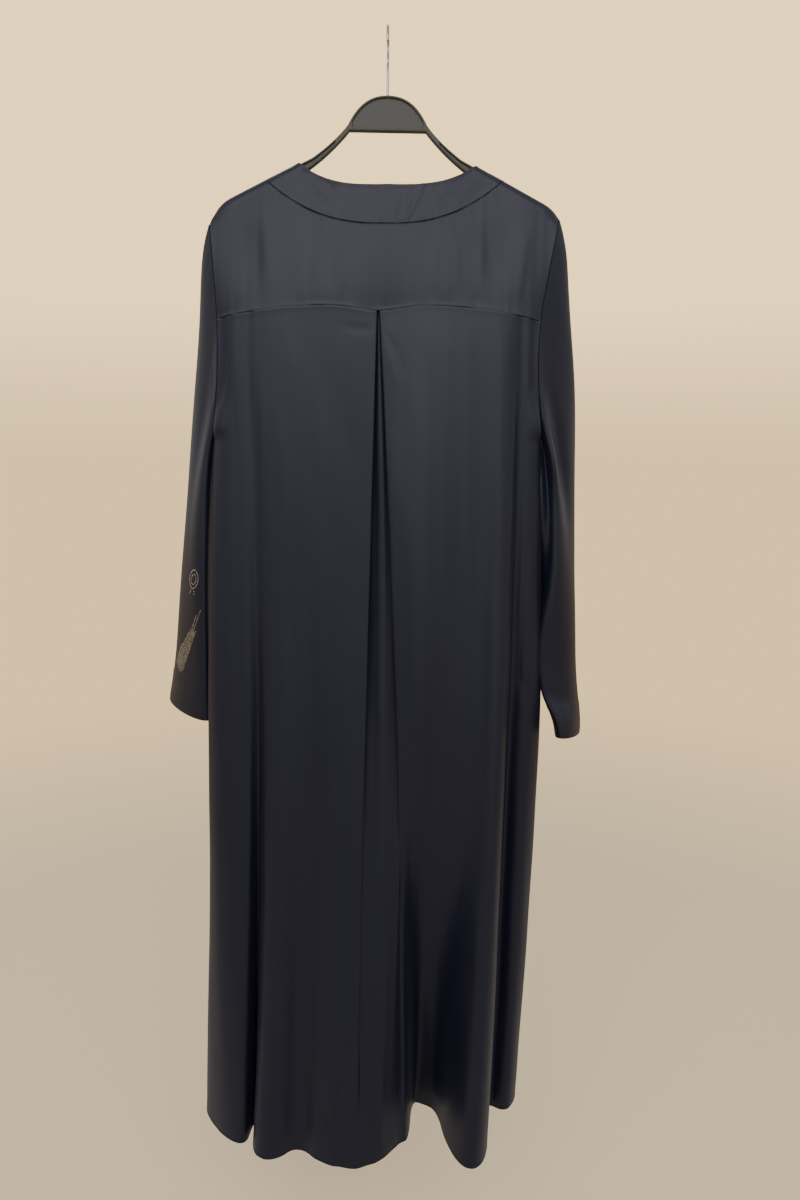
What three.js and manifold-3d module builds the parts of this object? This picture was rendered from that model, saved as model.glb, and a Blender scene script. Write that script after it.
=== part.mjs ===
// A long satin abaya on a plain shop hanger: every cut piece is its own thin cloth wall.
// Units are millimetres, +Z up, +X to the wearer's right and +Y to the wearer's front.
// The origin is the inside of the hook, where it bears on a rail.
import * as THREE from 'three';
import { mergeVertices } from 'three/addons/utils/BufferGeometryUtils.js';
import Module from 'manifold-3d';

const wasm = await Module();
wasm.setup();

// ---------- driving dimensions ----------
const cloth = { wall: 1.2, seamGap: 0.4, sleeveGap: 1.1 };
const heights = {
  backNeck: -191.5, backBand: -237, yokeLine: -348, underarm: -511, knee: -911, hem: -1557,
};
const hanger = {
  ridge: -106, slope: 0.5, lean: 0.012, armEnd: 194, armTall: 11.5, domeTop: -83, domeFoot: -123,
  domeHalf: 51, thick: 9, bevel: 2.2, rim: 3, recess: 2.6, clear: 2.5,
};
const hook = { wire: 3.2, inner: 18, bendDrop: 22, bendReach: 11, sides: 8 };
const neck = { slide: -4, half: 110, bandHalf: 154, bandWide: 50, vBottom: -400, vSoft: 60 };
const shoulder = { half: 228, roundFrom: 200, roundDrop: 0.0006 };
const body = { capRadius: 10, halfDepth: 28, swell: 130, edgeTurn: 9, hemTurn: 24 };
const armhole = { halfDepth: 13, fullness: 3 };
const opening = { gapTop: 2.5, gapHem: 9, centreTop: -4, centreHem: -16 };

// ---------- small maths ----------
const lerp = (a, b, t) => a + (b - a) * t;
const clamp01 = (t) => Math.min(1, Math.max(0, t));
const ease = (t) => clamp01(t) ** 2 * (3 - 2 * clamp01(t));
const span = (count) => Array.from({ length: count }, (_, i) => i / (count - 1));

// A parabola through three states of a fold: at the yoke line, at the knee and at the hem.
const kneeShare = (heights.yokeLine - heights.knee) / (heights.yokeLine - heights.hem);
function through(top, mid, hem, r) {
  const m = kneeShare;
  return (top * (r - m) * (r - 1)) / m + (mid * r * (r - 1)) / (m * (m - 1))
    + (hem * r * (r - m)) / (1 - m);
}

// Reads a column of a table of sections, sorted from the top down, with a smooth curve between its rows.
function section(table, column, z) {
  const last = table.length - 1;
  if (z >= table[0].z) return table[0][column];
  if (z <= table[last].z) return table[last][column];
  let i = 0;
  while (z < table[i + 1].z) i += 1;
  const slope = (k) => {
    const a = table[Math.max(0, k - 1)];
    const b = table[Math.min(last, k + 1)];
    return (b[column] - a[column]) / (b.z - a.z);
  };
  const [a, b] = [table[i], table[i + 1]];
  const long = b.z - a.z;
  const t = (z - a.z) / long;
  const [t2, t3] = [t * t, t * t * t];
  return a[column] * (2 * t3 - 3 * t2 + 1) + slope(i) * long * (t3 - 2 * t2 + t)
    + b[column] * (3 * t2 - 2 * t3) + slope(i + 1) * long * (t3 - t2);
}

// ---------- outlines of the cut ----------
// The side edges of the body: the armhole down to the underarm, then the side seam to the hem.
const sideTable = [
  { z: -226, left: -232, leftY: 0, right: 224, rightY: 0 },
  { z: -293, left: -227, leftY: 0, right: 212, rightY: 0 },
  { z: -355, left: -224, leftY: 0, right: 203, rightY: 0 },
  { z: -430, left: -226, leftY: 0, right: 202, rightY: 0 },
  { z: -511, left: -234, leftY: 0, right: 211, rightY: 0 },
  { z: -700, left: -244, leftY: -10, right: 218, rightY: 8 },
  { z: -911, left: -252, leftY: -12, right: 223, rightY: 15 },
  { z: -1200, left: -261, leftY: 0, right: 221, rightY: 38 },
  { z: -1557, left: -282, leftY: 30, right: 212, rightY: 68 },
];

// The top line of both shoulders, which lie on the hanger.
const ridge = (x) => hanger.ridge - hanger.slope * Math.abs(x) - hanger.lean * x
  - shoulder.roundDrop * Math.max(0, Math.abs(x) - shoulder.roundFrom) ** 3;
const shoulderTip = (side) => neck.slide + side * shoulder.half;

function armDepth(z) {
  const top = ridge(shoulderTip(1));
  const half = (top - heights.underarm) / 2;
  const s = Math.min(1, Math.abs(z - (top + heights.underarm) / 2) / half);
  return armhole.halfDepth * (1 - s ** armhole.fullness) ** (1 / armhole.fullness);
}

const archedLine = (low, half, curve) => (x) => {
  const share = Math.abs(x - neck.slide) / half;
  const end = ridge(neck.slide + Math.sign(x - neck.slide) * half);
  return low + (end - low) * share ** curve;
};
const backNeckline = archedLine(heights.backNeck, neck.half, 2.8);
const backBandSeam = archedLine(heights.backBand, neck.bandHalf, 2.4);

// The yoke seam sags a little at the pleat and falls to the armholes.
const yokeSeam = (x) => -338 - 10 * Math.exp(-(((x + 11) / 28) ** 2)) - 18 * (Math.abs(x + 12) / 212) ** 3;

const centreFront = (z) => lerp(opening.centreTop, opening.centreHem, clamp01((neck.vBottom - z) / 1157));
// The front edges run down in a V whose foot is rounded, then close to a small gap that widens to the hem.
function openingEdge(side, z) {
  const gap = lerp(opening.gapTop, opening.gapHem, clamp01((neck.vBottom - z) / 1157));
  const tall = ridge(neck.slide + side * neck.half) - neck.vBottom;
  const above = (d) => (d + Math.hypot(d, neck.vSoft)) / 2;
  return centreFront(z) + side * (gap + ((neck.half - gap) * above(z - neck.vBottom)) / above(tall));
}
function bandEdge(side, z) {
  const slope = (openingEdge(side, z + 1) - openingEdge(side, z - 1)) / 2;
  return openingEdge(side, z) + side * neck.bandWide * Math.hypot(1, slope);
}

// How far the cloth stands from the mid plane above the yoke line.
const edgeX = (side, z) => section(sideTable, side < 0 ? 'left' : 'right', z);
function upperDepth(x, z) {
  const under = Math.max(0, ridge(x) - z);
  const round = 1 - Math.min(1, under / body.capRadius);
  const cap = body.capRadius * Math.sqrt(1 - round * round);
  const middle = cap + (body.halfDepth - body.capRadius) * ease(under / body.swell);
  const atEdge = Math.abs((x - neck.slide) / (edgeX(x < neck.slide ? -1 : 1, z) - neck.slide)) ** 8;
  return lerp(middle, armDepth(z), Math.min(1, atEdge));
}

// The way the upper cloth faces, out of the back (face -1) or the front (face 1).
function upperNormal(p, face) {
  const [dx, dz] = [1, 0.05];
  const slopeX = (upperDepth(p.x + dx, p.z) - upperDepth(p.x - dx, p.z)) / (2 * dx);
  const slopeZ = (upperDepth(p.x, p.z) - upperDepth(p.x, p.z - dz)) / dz;
  return new THREE.Vector3(-slopeX, face, -slopeZ).normalize();
}

// ---------- cloth walls ----------
function toGeometry(points, faces) {
  const flat = new Float32Array(points.length * 3);
  points.forEach((p, i) => p.toArray(flat, i * 3));
  const geometry = new THREE.BufferGeometry();
  geometry.setAttribute('position', new THREE.BufferAttribute(flat, 3));
  geometry.setIndex(faces.flat());
  return geometry;
}

// Thickens a grid of points, rows by columns, into a closed wall. A tube's columns run all the way round.
// facing gives a point's normal where the cloth lies on a known surface, and square(normal, row, column)
// turns the normals of a sewn edge so that its rim faces its neighbour squarely.
function clothWall(grid, { tube = false, flip = false, facing = null, square = () => {} } = {}) {
  const [rows, cols] = [grid.length, grid[0].length];
  const wrap = (i) => (tube ? (i + cols) % cols : Math.min(cols - 1, Math.max(0, i)));
  const normal = (j, i) => {
    const along = grid[j][wrap(i + 1)].clone().sub(grid[j][wrap(i - 1)]).normalize();
    const down = grid[Math.min(rows - 1, j + 1)][i].clone().sub(grid[Math.max(0, j - 1)][i]).normalize();
    const n = facing ? facing(grid[j][i]) : along.cross(down).normalize().multiplyScalar(flip ? -1 : 1);
    square(n, j, i);
    return n.normalize();
  };
  const points = [];
  for (const side of [0.5, -0.5]) {
    for (let j = 0; j < rows; j += 1) {
      for (let i = 0; i < cols; i += 1) {
        points.push(grid[j][i].clone().addScaledVector(normal(j, i), side * cloth.wall));
      }
    }
  }
  const outer = (j, i) => j * cols + wrap(i);
  const inner = (j, i) => rows * cols + j * cols + wrap(i);
  const faces = [];
  const quad = (a, b, c, d) => faces.push(flip ? [a, c, b] : [a, b, c], flip ? [a, d, c] : [a, c, d]);
  const lastCol = tube ? cols : cols - 1;
  for (let j = 0; j < rows - 1; j += 1) {
    for (let i = 0; i < lastCol; i += 1) {
      quad(outer(j, i), outer(j, i + 1), outer(j + 1, i + 1), outer(j + 1, i));
      quad(inner(j, i), inner(j + 1, i), inner(j + 1, i + 1), inner(j, i + 1));
    }
  }
  for (let i = 0; i < lastCol; i += 1) {
    quad(outer(0, i), inner(0, i), inner(0, i + 1), outer(0, i + 1));
    quad(outer(rows - 1, i), outer(rows - 1, i + 1), inner(rows - 1, i + 1), inner(rows - 1, i));
  }
  if (!tube) {
    for (let j = 0; j < rows - 1; j += 1) {
      quad(outer(j, 0), outer(j + 1, 0), inner(j + 1, 0), inner(j, 0));
      quad(outer(j, cols - 1), inner(j, cols - 1), inner(j + 1, cols - 1), outer(j + 1, cols - 1));
    }
  }
  return toGeometry(points, faces);
}

// Rounds the corners of a path of control points, as cloth rounds over its folds.
// A corner's round is the share of its half flanks that the curve takes, and steps its samples.
function rounded(controls) {
  const points = [controls[0].at];
  for (let i = 1; i < controls.length - 1; i += 1) {
    const { at, round = 1, steps = 3 } = controls[i];
    const isEnd = (k) => k === 0 || k === controls.length - 1;
    const reach = (k) => at.clone().lerp(controls[k].at, (isEnd(k) ? 0.8 : 0.5) * round);
    const [from, to] = [reach(i - 1), reach(i + 1)];
    for (let s = 0; s < steps; s += 1) {
      const t = steps === 1 ? 0.5 : lerp(0.15, 0.85, s / (steps - 1));
      points.push(from.clone().lerp(at, t).lerp(at.clone().lerp(to, t), t));
    }
  }
  points.push(controls[controls.length - 1].at);
  return points;
}

const downShare = (z) => (heights.yokeLine - z) / (heights.yokeLine - heights.hem);

// ---------- back ----------
// One row for each crest and trough of the back, from the wearer's left side seam to the right one: its
// place across and its depth at the yoke seam, at the knee and at the hem. behind is how far it lies behind
// the outer cloth at the yoke seam. The folds of the pleat turn sharply.
const [crease, tuck] = [{ round: 0.6, steps: 2 }, { round: 0.7, steps: 2 }];
const backFolds = [
  { fold: 'left lobe', xTop: -208, behind: 0, xMid: -228, yMid: -54, xHem: -244, yHem: -46 },
  { fold: 'left flank', xTop: -194, behind: 0, xMid: -189, yMid: -58, xHem: -208, yHem: -62, round: 0.8 },
  { fold: 'deep fold, left', xTop: -186, behind: 1, xMid: -182, yMid: -20, xHem: -205, yHem: -6 },
  { fold: 'deep fold, right', xTop: -180, behind: 1, xMid: -174, yMid: -20, xHem: -198, yHem: -2 },
  { fold: 'second flank', xTop: -168, behind: 0, xMid: -163, yMid: -60, xHem: -195, yHem: -78, round: 0.8 },
  { fold: 'second lobe', xTop: -142, behind: -1, xMid: -140, yMid: -68, xHem: -163, yHem: -94 },
  { fold: 'shallow fold', xTop: -100, behind: 1, xMid: -106, yMid: -44, xHem: -130, yHem: -32, round: 0.8 },
  { fold: 'middle lobe', xTop: -58, behind: 0, xMid: -68, yMid: -66, xHem: -88, yHem: -98 },
  { fold: 'left crease', xTop: -13, behind: 0, xMid: -26, yMid: -72, xHem: -40, yHem: -105, ...crease },
  { fold: 'left return', xTop: -13, behind: 3.6, xMid: -27, yMid: -62, xHem: -36, yHem: -103.6, ...crease },
  { fold: 'left tuck', xTop: -54, behind: 3.6, xMid: -46, yMid: -44, xHem: -30, yHem: -101, ...tuck },
  { fold: 'underlay left', xTop: -54, behind: 8, xMid: -40, yMid: -30, xHem: -20, yHem: -95, ...tuck },
  { fold: 'underlay right', xTop: 32, behind: 8, xMid: 20, yMid: -31, xHem: -4, yHem: -86, ...tuck },
  { fold: 'right tuck', xTop: 32, behind: 3.6, xMid: 26, yMid: -39, xHem: 12, yHem: -69, ...tuck },
  { fold: 'right return', xTop: -9, behind: 3.6, xMid: 14, yMid: -50, xHem: 24, yHem: -52, ...crease },
  { fold: 'right crease', xTop: -9, behind: 0, xMid: 18, yMid: -71, xHem: 45, yHem: 6, ...crease },
  { fold: 'right panel', xTop: 34, behind: 0, xMid: 50, yMid: -72, xHem: 47, yHem: 24 },
  { fold: 'wide trough, left', xTop: 66, behind: 0, xMid: 74, yMid: -50, xHem: 54, yHem: 38 },
  { fold: 'wide trough, right', xTop: 100, behind: 1, xMid: 106, yMid: -48, xHem: 89, yHem: 36 },
  { fold: 'fourth lobe, left wall', xTop: 130, behind: 0, xMid: 126, yMid: -60, xHem: 92, yHem: -74 },
  { fold: 'fourth lobe', xTop: 150, behind: -1, xMid: 148, yMid: -78, xHem: 124, yHem: -113 },
  { fold: 'fourth lobe, right wall', xTop: 168, behind: 0, xMid: 168, yMid: -64, xHem: 157, yHem: -80 },
  { fold: 'side trough', xTop: 178, behind: 2, xMid: 171, yMid: -10, xHem: 158, yHem: 34, round: 0.9 },
  { fold: 'side ridge', xTop: 187, behind: 0, xMid: 198, yMid: -26, xHem: 192, yHem: 8 },
];

// A point of a side edge, on the back or the front, and the next point in from it.
function sideEdge(side, face, z) {
  const below = ease((heights.underarm + 70 - z) / 65);
  const x = edgeX(side, z);
  const seamY = section(sideTable, side < 0 ? 'leftY' : 'rightY', z);
  const y = seamY + face * (armDepth(z) + cloth.seamGap / 2);
  const turn = lerp(body.edgeTurn, body.hemTurn, clamp01(downShare(z)));
  const next = new THREE.Vector3(x - side * lerp(9, 0, below), y + face * lerp(1, turn, below), z);
  return { edge: new THREE.Vector3(x, y, z), next };
}

// Above the underarm a side edge faces its sleeve, and below it the other side of its seam.
function squareSide(n, z) {
  if (z > heights.underarm + 8) n.x = 0;
  else n.y = 0;
}

function backRow(share) {
  const zAt = (x) => lerp(yokeSeam(x) - cloth.seamGap / 2, heights.hem, share);
  const controls = backFolds.map((f) => {
    const x = through(f.xTop, f.xMid, f.xHem, share);
    const yTop = f.behind - upperDepth(f.xTop, yokeSeam(f.xTop));
    return { at: new THREE.Vector3(x, through(yTop, f.yMid, f.yHem, share), zAt(f.xTop)), ...f };
  });
  const left = sideEdge(-1, -1, zAt(sideTable[2].left));
  const right = sideEdge(1, -1, zAt(sideTable[2].right));
  const ends = [[{ at: left.edge }, { at: left.next }], [{ at: right.next }, { at: right.edge }]];
  return rounded([...ends[0], ...controls, ...ends[1]]);
}
const backLevels = [0, 0.025, 0.07, 0.13, 0.2, 0.28, 0.37, 0.46, 0.56, 0.66, 0.77, 0.88, 1];
function backBody() {
  const rows = backLevels.map(backRow);
  const last = rows[0].length - 1;
  const seamHeights = rows[0].map((p) => yokeSeam(p.x) - cloth.seamGap / 2);
  rows.forEach((row, j) => row.forEach((p, i) => {
    p.z = lerp(seamHeights[i], heights.hem, backLevels[j]);
  }));
  return clothWall(rows, {
    square: (n, j, i) => {
      if (j === 0) n.z = 0;
      if (i === 0 || i === last) squareSide(n, rows[j][i].z);
    },
  });
}

// The columns that the yoke and the neckband share, so that their seam runs through the same points.
const seamColumns = [8, 16, 26, 38, 56, 80, 104, 126, 142, 150, 153, neck.bandHalf];
function bothWays(columns) {
  const shares = columns.map((x) => x / columns[columns.length - 1]);
  return [...shares.map((u) => -u).reverse(), 0, ...shares];
}

function backYoke() {
  const across = bothWays([...seamColumns, 166, 184, 206, shoulder.half]);
  const down = [0, 0.006, 0.02, 0.045, 0.1, 0.2, 0.35, 0.55, 0.78, 1];
  const halfAt = (side, z) => Math.abs(edgeX(side, z) - neck.slide);
  const rows = down.map((v) => across.map((u) => {
    const xTop = neck.slide + u * shoulder.half;
    const onBand = Math.abs(u) * shoulder.half < neck.bandHalf - 0.1;
    const top = (onBand ? backBandSeam(xTop) : ridge(xTop)) - (onBand ? cloth.seamGap / 2 : 0);
    const foot = yokeSeam(neck.slide + u * halfAt(u, heights.yokeLine)) + cloth.seamGap / 2;
    const z = lerp(top, foot, v);
    const x = neck.slide + u * halfAt(u, z);
    return new THREE.Vector3(x, -upperDepth(x, z) - cloth.seamGap / 2, z);
  }));
  return clothWall(rows, {
    flip: true,
    facing: (p) => upperNormal(p, -1),
    square: (n, j, i) => {
      if (j === down.length - 1) n.z = 0;
      if (i === 0 || i === across.length - 1) n.x = 0;
    },
  });
}

function backNeckband() {
  const across = bothWays(seamColumns);
  return clothWall(span(4).map((v) => across.map((u) => {
    const inner = neck.slide + u * neck.half;
    const outer = neck.slide + u * (neck.bandHalf - 2 * cloth.seamGap);
    const x = lerp(inner, outer, v);
    const z = lerp(backNeckline(inner), backBandSeam(outer) + cloth.seamGap / 2, v);
    return new THREE.Vector3(x, -upperDepth(x, z) - cloth.seamGap / 2, z);
  })), { flip: true, facing: (p) => upperNormal(p, -1) });
}

// ---------- front ----------
// One row for each crest and trough of a front. top, mid and hem are its place across at the yoke line, the
// knee and the hem, from 0 at the band to 1 at the side seam.
const frontFolds = {
  left: [
    { fold: 'inner crest', top: 0.2, mid: 0.19, hem: 0.16, yMid: 72, yHem: 122 },
    { fold: 'inner trough', top: 0.42, mid: 0.41, hem: 0.36, yMid: 38, yHem: 52 },
    { fold: 'outer crest', top: 0.62, mid: 0.62, hem: 0.6, yMid: 62, yHem: 118 },
    { fold: 'outer trough', top: 0.84, mid: 0.83, hem: 0.8, yMid: 16, yHem: 42 },
  ],
  right: [
    { fold: 'inner crest', top: 0.25, mid: 0.24, hem: 0.2, yMid: 74, yHem: 126 },
    { fold: 'inner trough', top: 0.5, mid: 0.48, hem: 0.46, yMid: 40, yHem: 60 },
    { fold: 'outer crest', top: 0.7, mid: 0.68, hem: 0.68, yMid: 64, yHem: 116 },
    { fold: 'outer trough', top: 0.88, mid: 0.86, hem: 0.86, yMid: 34, yHem: 74 },
  ],
};
const frontLevels = [
  0, 0.0008, 0.0028, 0.007, 0.016, 0.035, 0.065, 0.095, 0.12, 0.14, 0.16, 0.18, 0.21, 0.26, 0.34, 0.43,
  0.53, 0.64, 0.76, 0.88, 1,
];
const bandDepth = { seamMid: 54, seamHem: 76, edgeMid: 50, edgeHem: 66 };

const frontDepth = (x, z, mid, hem) => through(
  upperDepth(x, Math.max(z, heights.yokeLine)), mid, hem, Math.max(0, downShare(z)));

function frontPanel(side) {
  const name = side < 0 ? 'left' : 'right';
  const zTopIn = ridge(neck.slide + side * neck.bandHalf);
  const zTopOut = ridge(shoulderTip(side));
  const rows = frontLevels.map((v) => {
    const zAt = (share) => lerp(lerp(zTopIn, zTopOut, share), heights.hem, v);
    const place = (share, yMid, yHem, z) => {
      const x = lerp(bandEdge(side, z) + side * cloth.seamGap, edgeX(side, z), share);
      return new THREE.Vector3(x, frontDepth(x, z, yMid, yHem) + cloth.seamGap / 2, z);
    };
    const controls = frontFolds[name].map((f) => {
      const share = through(f.top, f.mid, f.hem, clamp01(downShare(zAt(f.top))));
      return { at: place(share, f.yMid, f.yHem, zAt(f.top)), steps: 4 };
    });
    const start = place(0, bandDepth.seamMid, bandDepth.seamHem, zAt(0));
    const seam = sideEdge(side, 1, zAt(1));
    return rounded([{ at: start }, ...controls, { at: seam.next, steps: 4 }, { at: seam.edge }]);
  });
  const last = rows[0].length - 1;
  return clothWall(rows, {
    flip: side > 0,
    square: (n, j, i) => {
      if (j === 0) n.y = 0;
      if (i === 0) n.x = 0;
      if (i === last) squareSide(n, rows[j][i].z);
    },
  });
}

function frontBand(side) {
  const zTop = (w) => ridge(neck.slide + side * lerp(neck.half, neck.bandHalf, w));
  return clothWall(frontLevels.map((v) => span(4).map((w) => {
    const z = lerp(zTop(w), heights.hem, v);
    const x = lerp(openingEdge(side, z), bandEdge(side, z), w);
    const mid = lerp(bandDepth.edgeMid, bandDepth.seamMid, w);
    const hem = lerp(bandDepth.edgeHem, bandDepth.seamHem, w);
    return new THREE.Vector3(x, frontDepth(x, z, mid, hem) + cloth.seamGap / 2, z);
  })), {
    flip: side > 0,
    square: (n, j, i) => {
      if (j === 0) n.y = 0;
      if (i === 3) n.x = 0;
    },
  });
}

// ---------- sleeves ----------
// Flattened tubes. turn is the way the over-arm fold points, in degrees from +X towards -Y, long and short
// are the half axes, and slant is how far the over-arm end of the cuff drops for each millimetre of width.
const sleeves = {
  left: {
    elbow: { x: -271, y: 43, z: -640, long: 53, short: 16, turn: 248 },
    cuff: { x: -292, y: 44, z: -907, long: 60, short: 18, turn: 232, slant: -0.08 },
  },
  right: {
    elbow: { x: 250, y: 33, z: -650, long: 47, short: 14, turn: -68 },
    cuff: { x: 264, y: 36, z: -940, long: 53, short: 14, turn: -72, slant: 0.15 },
  },
};
// Places where a sleeve is pushed in or out: share is how far down it is, at the angle round it from the
// shoulder point over the back, and before, after and around how far the push spreads.
const sleevePushes = {
  left: [
    { push: 'upper fullness', share: 0.24, before: 0.14, after: 0.2, at: 20, around: 50, x: -5, y: 0 },
    { push: 'upper hollow', share: 0.2, before: 0.16, after: 0.3, at: 110, around: 24, x: 0, y: 6 },
    { push: 'forearm hollow', share: 0.76, before: 0.2, after: 0.16, at: 10, around: 50, x: 5, y: 0 },
  ],
  right: [
    { push: 'upper fullness', share: 0.24, before: 0.15, after: 0.2, at: 20, around: 60, x: 10, y: 0 },
    { push: 'upper fold', share: 0.2, before: 0.14, after: 0.12, at: 150, around: 26, x: 2, y: -7 },
    { push: 'groove', share: 0.28, before: 0.2, after: 0.16, at: 108, around: 20, x: 0, y: 10 },
    { push: 'inner wall', share: 0.5, before: 0.26, after: 0.3, at: 262, around: 32, x: -12, y: 0 },
    { push: 'forearm hollow', share: 0.78, before: 0.2, after: 0.16, at: 10, around: 60, x: -8, y: 0 },
    { push: 'forearm bulge', share: 0.9, before: 0.2, after: 0.055, at: 180, around: 48, x: -18, y: 8 },
    { push: 'cuff flare', share: 1.0, before: 0.12, after: 0.1, at: 30, around: 200, x: 9, y: 0 },
  ],
};
const radians = (degrees) => (degrees * Math.PI) / 180;

function armholePoint(side, angle) {
  const top = ridge(shoulderTip(side)) - 0.3;
  const z = lerp(top, heights.underarm, (1 - Math.cos(angle)) / 2);
  const x = edgeX(side, z) + side * cloth.sleeveGap;
  return new THREE.Vector3(x, -Math.sign(Math.sin(angle)) * armDepth(z), z);
}

function tubePoint(side, s, angle) {
  const turn = radians(s.turn);
  const along = new THREE.Vector3(Math.cos(turn), -Math.sin(turn), -(s.slant ?? 0)).multiplyScalar(s.long);
  const across = new THREE.Vector3(-Math.sin(turn), -Math.cos(turn), 0).multiplyScalar(side * s.short);
  return new THREE.Vector3(s.x, s.y, s.z)
    .addScaledVector(along, Math.cos(angle)).addScaledVector(across, Math.sin(angle));
}

function sleevePoint(side, t, angle) {
  const name = side < 0 ? 'left' : 'right';
  const { elbow, cuff } = sleeves[name];
  const point = armholePoint(side, angle).multiplyScalar((1 - t) * (1 - 2 * t))
    .addScaledVector(tubePoint(side, elbow, angle), 4 * t * (1 - t))
    .addScaledVector(tubePoint(side, cuff, angle), t * (2 * t - 1));
  point.x += side * 6 * (t / 0.05) * Math.exp(1 - t / 0.05) * Math.max(0, Math.cos(angle));
  for (const p of sleevePushes[name]) {
    const down = (t - p.share) / (t < p.share ? p.before : p.after);
    const round = ((((angle * 180) / Math.PI - p.at + 540) % 360) - 180) / p.around;
    const strength = Math.exp(-down * down - round * round) * ease(t / 0.05);
    point.x += p.x * strength;
    point.y += p.y * strength;
  }
  return point;
}

const sleeveLevels = [
  0, 0.03, 0.075, 0.12, 0.18, 0.25, 0.33, 0.42, 0.51, 0.6, 0.69, 0.78, 0.85, 0.9, 0.95, 1,
];
const sleeveSides = 22;
function sleeve(side) {
  const around = Array.from({ length: sleeveSides }, (_, i) => (i / sleeveSides) * 2 * Math.PI);
  const rings = sleeveLevels.map((t) => around.map((angle) => sleevePoint(side, t, angle)));
  return clothWall(rings, { tube: true, flip: side > 0, square: (n, j) => { if (j === 0) n.x = 0; } });
}

// ---------- hanger ----------
const toSolid = (geometry) => {
  geometry.deleteAttribute('normal');
  geometry.deleteAttribute('uv');
  const merged = mergeVertices(geometry, 1e-4);
  return new wasm.Manifold(new wasm.Mesh({
    numProp: 3,
    vertProperties: merged.attributes.position.array,
    triVerts: new Uint32Array(merged.index.array),
  }));
};
function fromSolid(solid) {
  const mesh = solid.getMesh();
  const geometry = new THREE.BufferGeometry();
  geometry.setAttribute('position', new THREE.BufferAttribute(new Float32Array(mesh.vertProperties), 3));
  geometry.setIndex(new THREE.BufferAttribute(mesh.triVerts, 1));
  return geometry;
}

// Half of the outline from the dome's top to the arm's end and back, moved inwards by inset.
function hangerOutline(inset) {
  const top = (x) => hanger.ridge - hanger.clear - hanger.slope * x;
  const { domeHalf, domeTop, domeFoot, armTall, armEnd } = hanger;
  const side = new THREE.Path();
  side.moveTo(0, domeTop - inset);
  side.bezierCurveTo(22, domeTop - inset, 38 - inset, domeTop - 10 - inset, domeHalf - inset, domeFoot + 8);
  side.quadraticCurveTo(66, top(80) + 6 - inset, 92, top(92) - inset);
  const [tip, tipFoot] = [armEnd - inset, armEnd - 8];
  side.lineTo(tip - 6, top(armEnd - 6) - inset);
  side.quadraticCurveTo(tip, top(armEnd) - inset, tip, top(armEnd) - armTall / 2);
  side.quadraticCurveTo(tip, top(armEnd) - armTall + inset, tipFoot, top(tipFoot) - armTall + inset);
  side.lineTo(98, top(98) - armTall + inset);
  side.quadraticCurveTo(70, top(78) - 5 + inset, domeHalf - 2, domeFoot + inset);
  const half = side.getPoints(7);
  const mirrored = half.slice(1).reverse().map((p) => new THREE.Vector2(-p.x, p.y));
  return new THREE.Shape([...half, ...mirrored]);
}

function hangerBody() {
  const { thick, bevel, rim, recess } = hanger;
  const options = {
    depth: thick - 2 * bevel,
    bevelThickness: bevel,
    bevelSize: bevel,
    bevelOffset: -bevel,
    bevelSegments: 2,
  };
  const upright = (geometry, y) => geometry.rotateX(Math.PI / 2).translate(0, y, 0);
  const slab = toSolid(upright(new THREE.ExtrudeGeometry(hangerOutline(0), options), thick / 2 - bevel));
  const pocket = (y) => toSolid(upright(
    new THREE.ExtrudeGeometry(hangerOutline(rim), { depth: recess * 2, bevelEnabled: false }), y));
  const cut = fromSolid(slab.subtract(pocket(thick / 2 + recess)).subtract(pocket(-thick / 2 + recess)));
  const { domeFoot, lean } = hanger;
  return cut.translate(0, 0, -domeFoot).rotateY(lean).translate(0, 0, domeFoot);
}

// The wire hook turns across the arms, so it opens towards the wearer's back.
function hookWire() {
  const radius = hook.inner + hook.wire / 2;
  const centreZ = -hook.inner;
  const arc = span(15).map((s) => {
    const angle = radians(lerp(190, -48, s));
    return new THREE.Vector3(0, radius * Math.cos(angle), centreZ + radius * Math.sin(angle));
  });
  const last = arc[arc.length - 1];
  const bend = new THREE.CubicBezierCurve3(
    last,
    last.clone().add(new THREE.Vector3(0, -hook.bendReach, -9)),
    new THREE.Vector3(0, 0, last.z - hook.bendDrop * 0.45),
    new THREE.Vector3(0, 0, last.z - hook.bendDrop),
  ).getPoints(7).slice(1);
  const foot = new THREE.Vector3(0, 0, hanger.domeTop + cloth.seamGap);
  const middle = new THREE.Vector3(0, 0, (last.z - hook.bendDrop + foot.z) / 2);
  const path = new THREE.CatmullRomCurve3([...arc, ...bend, middle, foot]);
  const ring = new THREE.Shape(span(hook.sides + 1).slice(1).map((s) => new THREE.Vector2(
    (hook.wire / 2) * Math.cos(2 * Math.PI * s), (hook.wire / 2) * Math.sin(2 * Math.PI * s))));
  return new THREE.ExtrudeGeometry(ring, { steps: 44, extrudePath: path });
}

// ---------- the garment ----------
const satin = () => new THREE.MeshStandardMaterial({ color: 0x1d2340, roughness: 0.42, metalness: 0 });
const plastic = () => new THREE.MeshStandardMaterial({ color: 0x23241f, roughness: 0.45, metalness: 0 });
const steel = () => new THREE.MeshStandardMaterial({ color: 0xb9bbbd, roughness: 0.25, metalness: 1 });

function piece(name, geometry, material) {
  const mesh = new THREE.Mesh(geometry, material);
  mesh.name = name;
  return mesh;
}

const abaya = new THREE.Group();
abaya.add(
  piece('back_yoke', backYoke(), satin()),
  piece('back_body', backBody(), satin()),
  piece('back_neckband', backNeckband(), satin()),
  piece('front_left', frontPanel(-1), satin()),
  piece('front_right', frontPanel(1), satin()),
  piece('front_band_left', frontBand(-1), satin()),
  piece('front_band_right', frontBand(1), satin()),
  piece('sleeve_left', sleeve(-1), satin()),
  piece('sleeve_right', sleeve(1), satin()),
  piece('hanger_body', hangerBody(), plastic()),
  piece('hanger_hook', hookWire(), steel()),
);

export default abaya;
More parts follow.
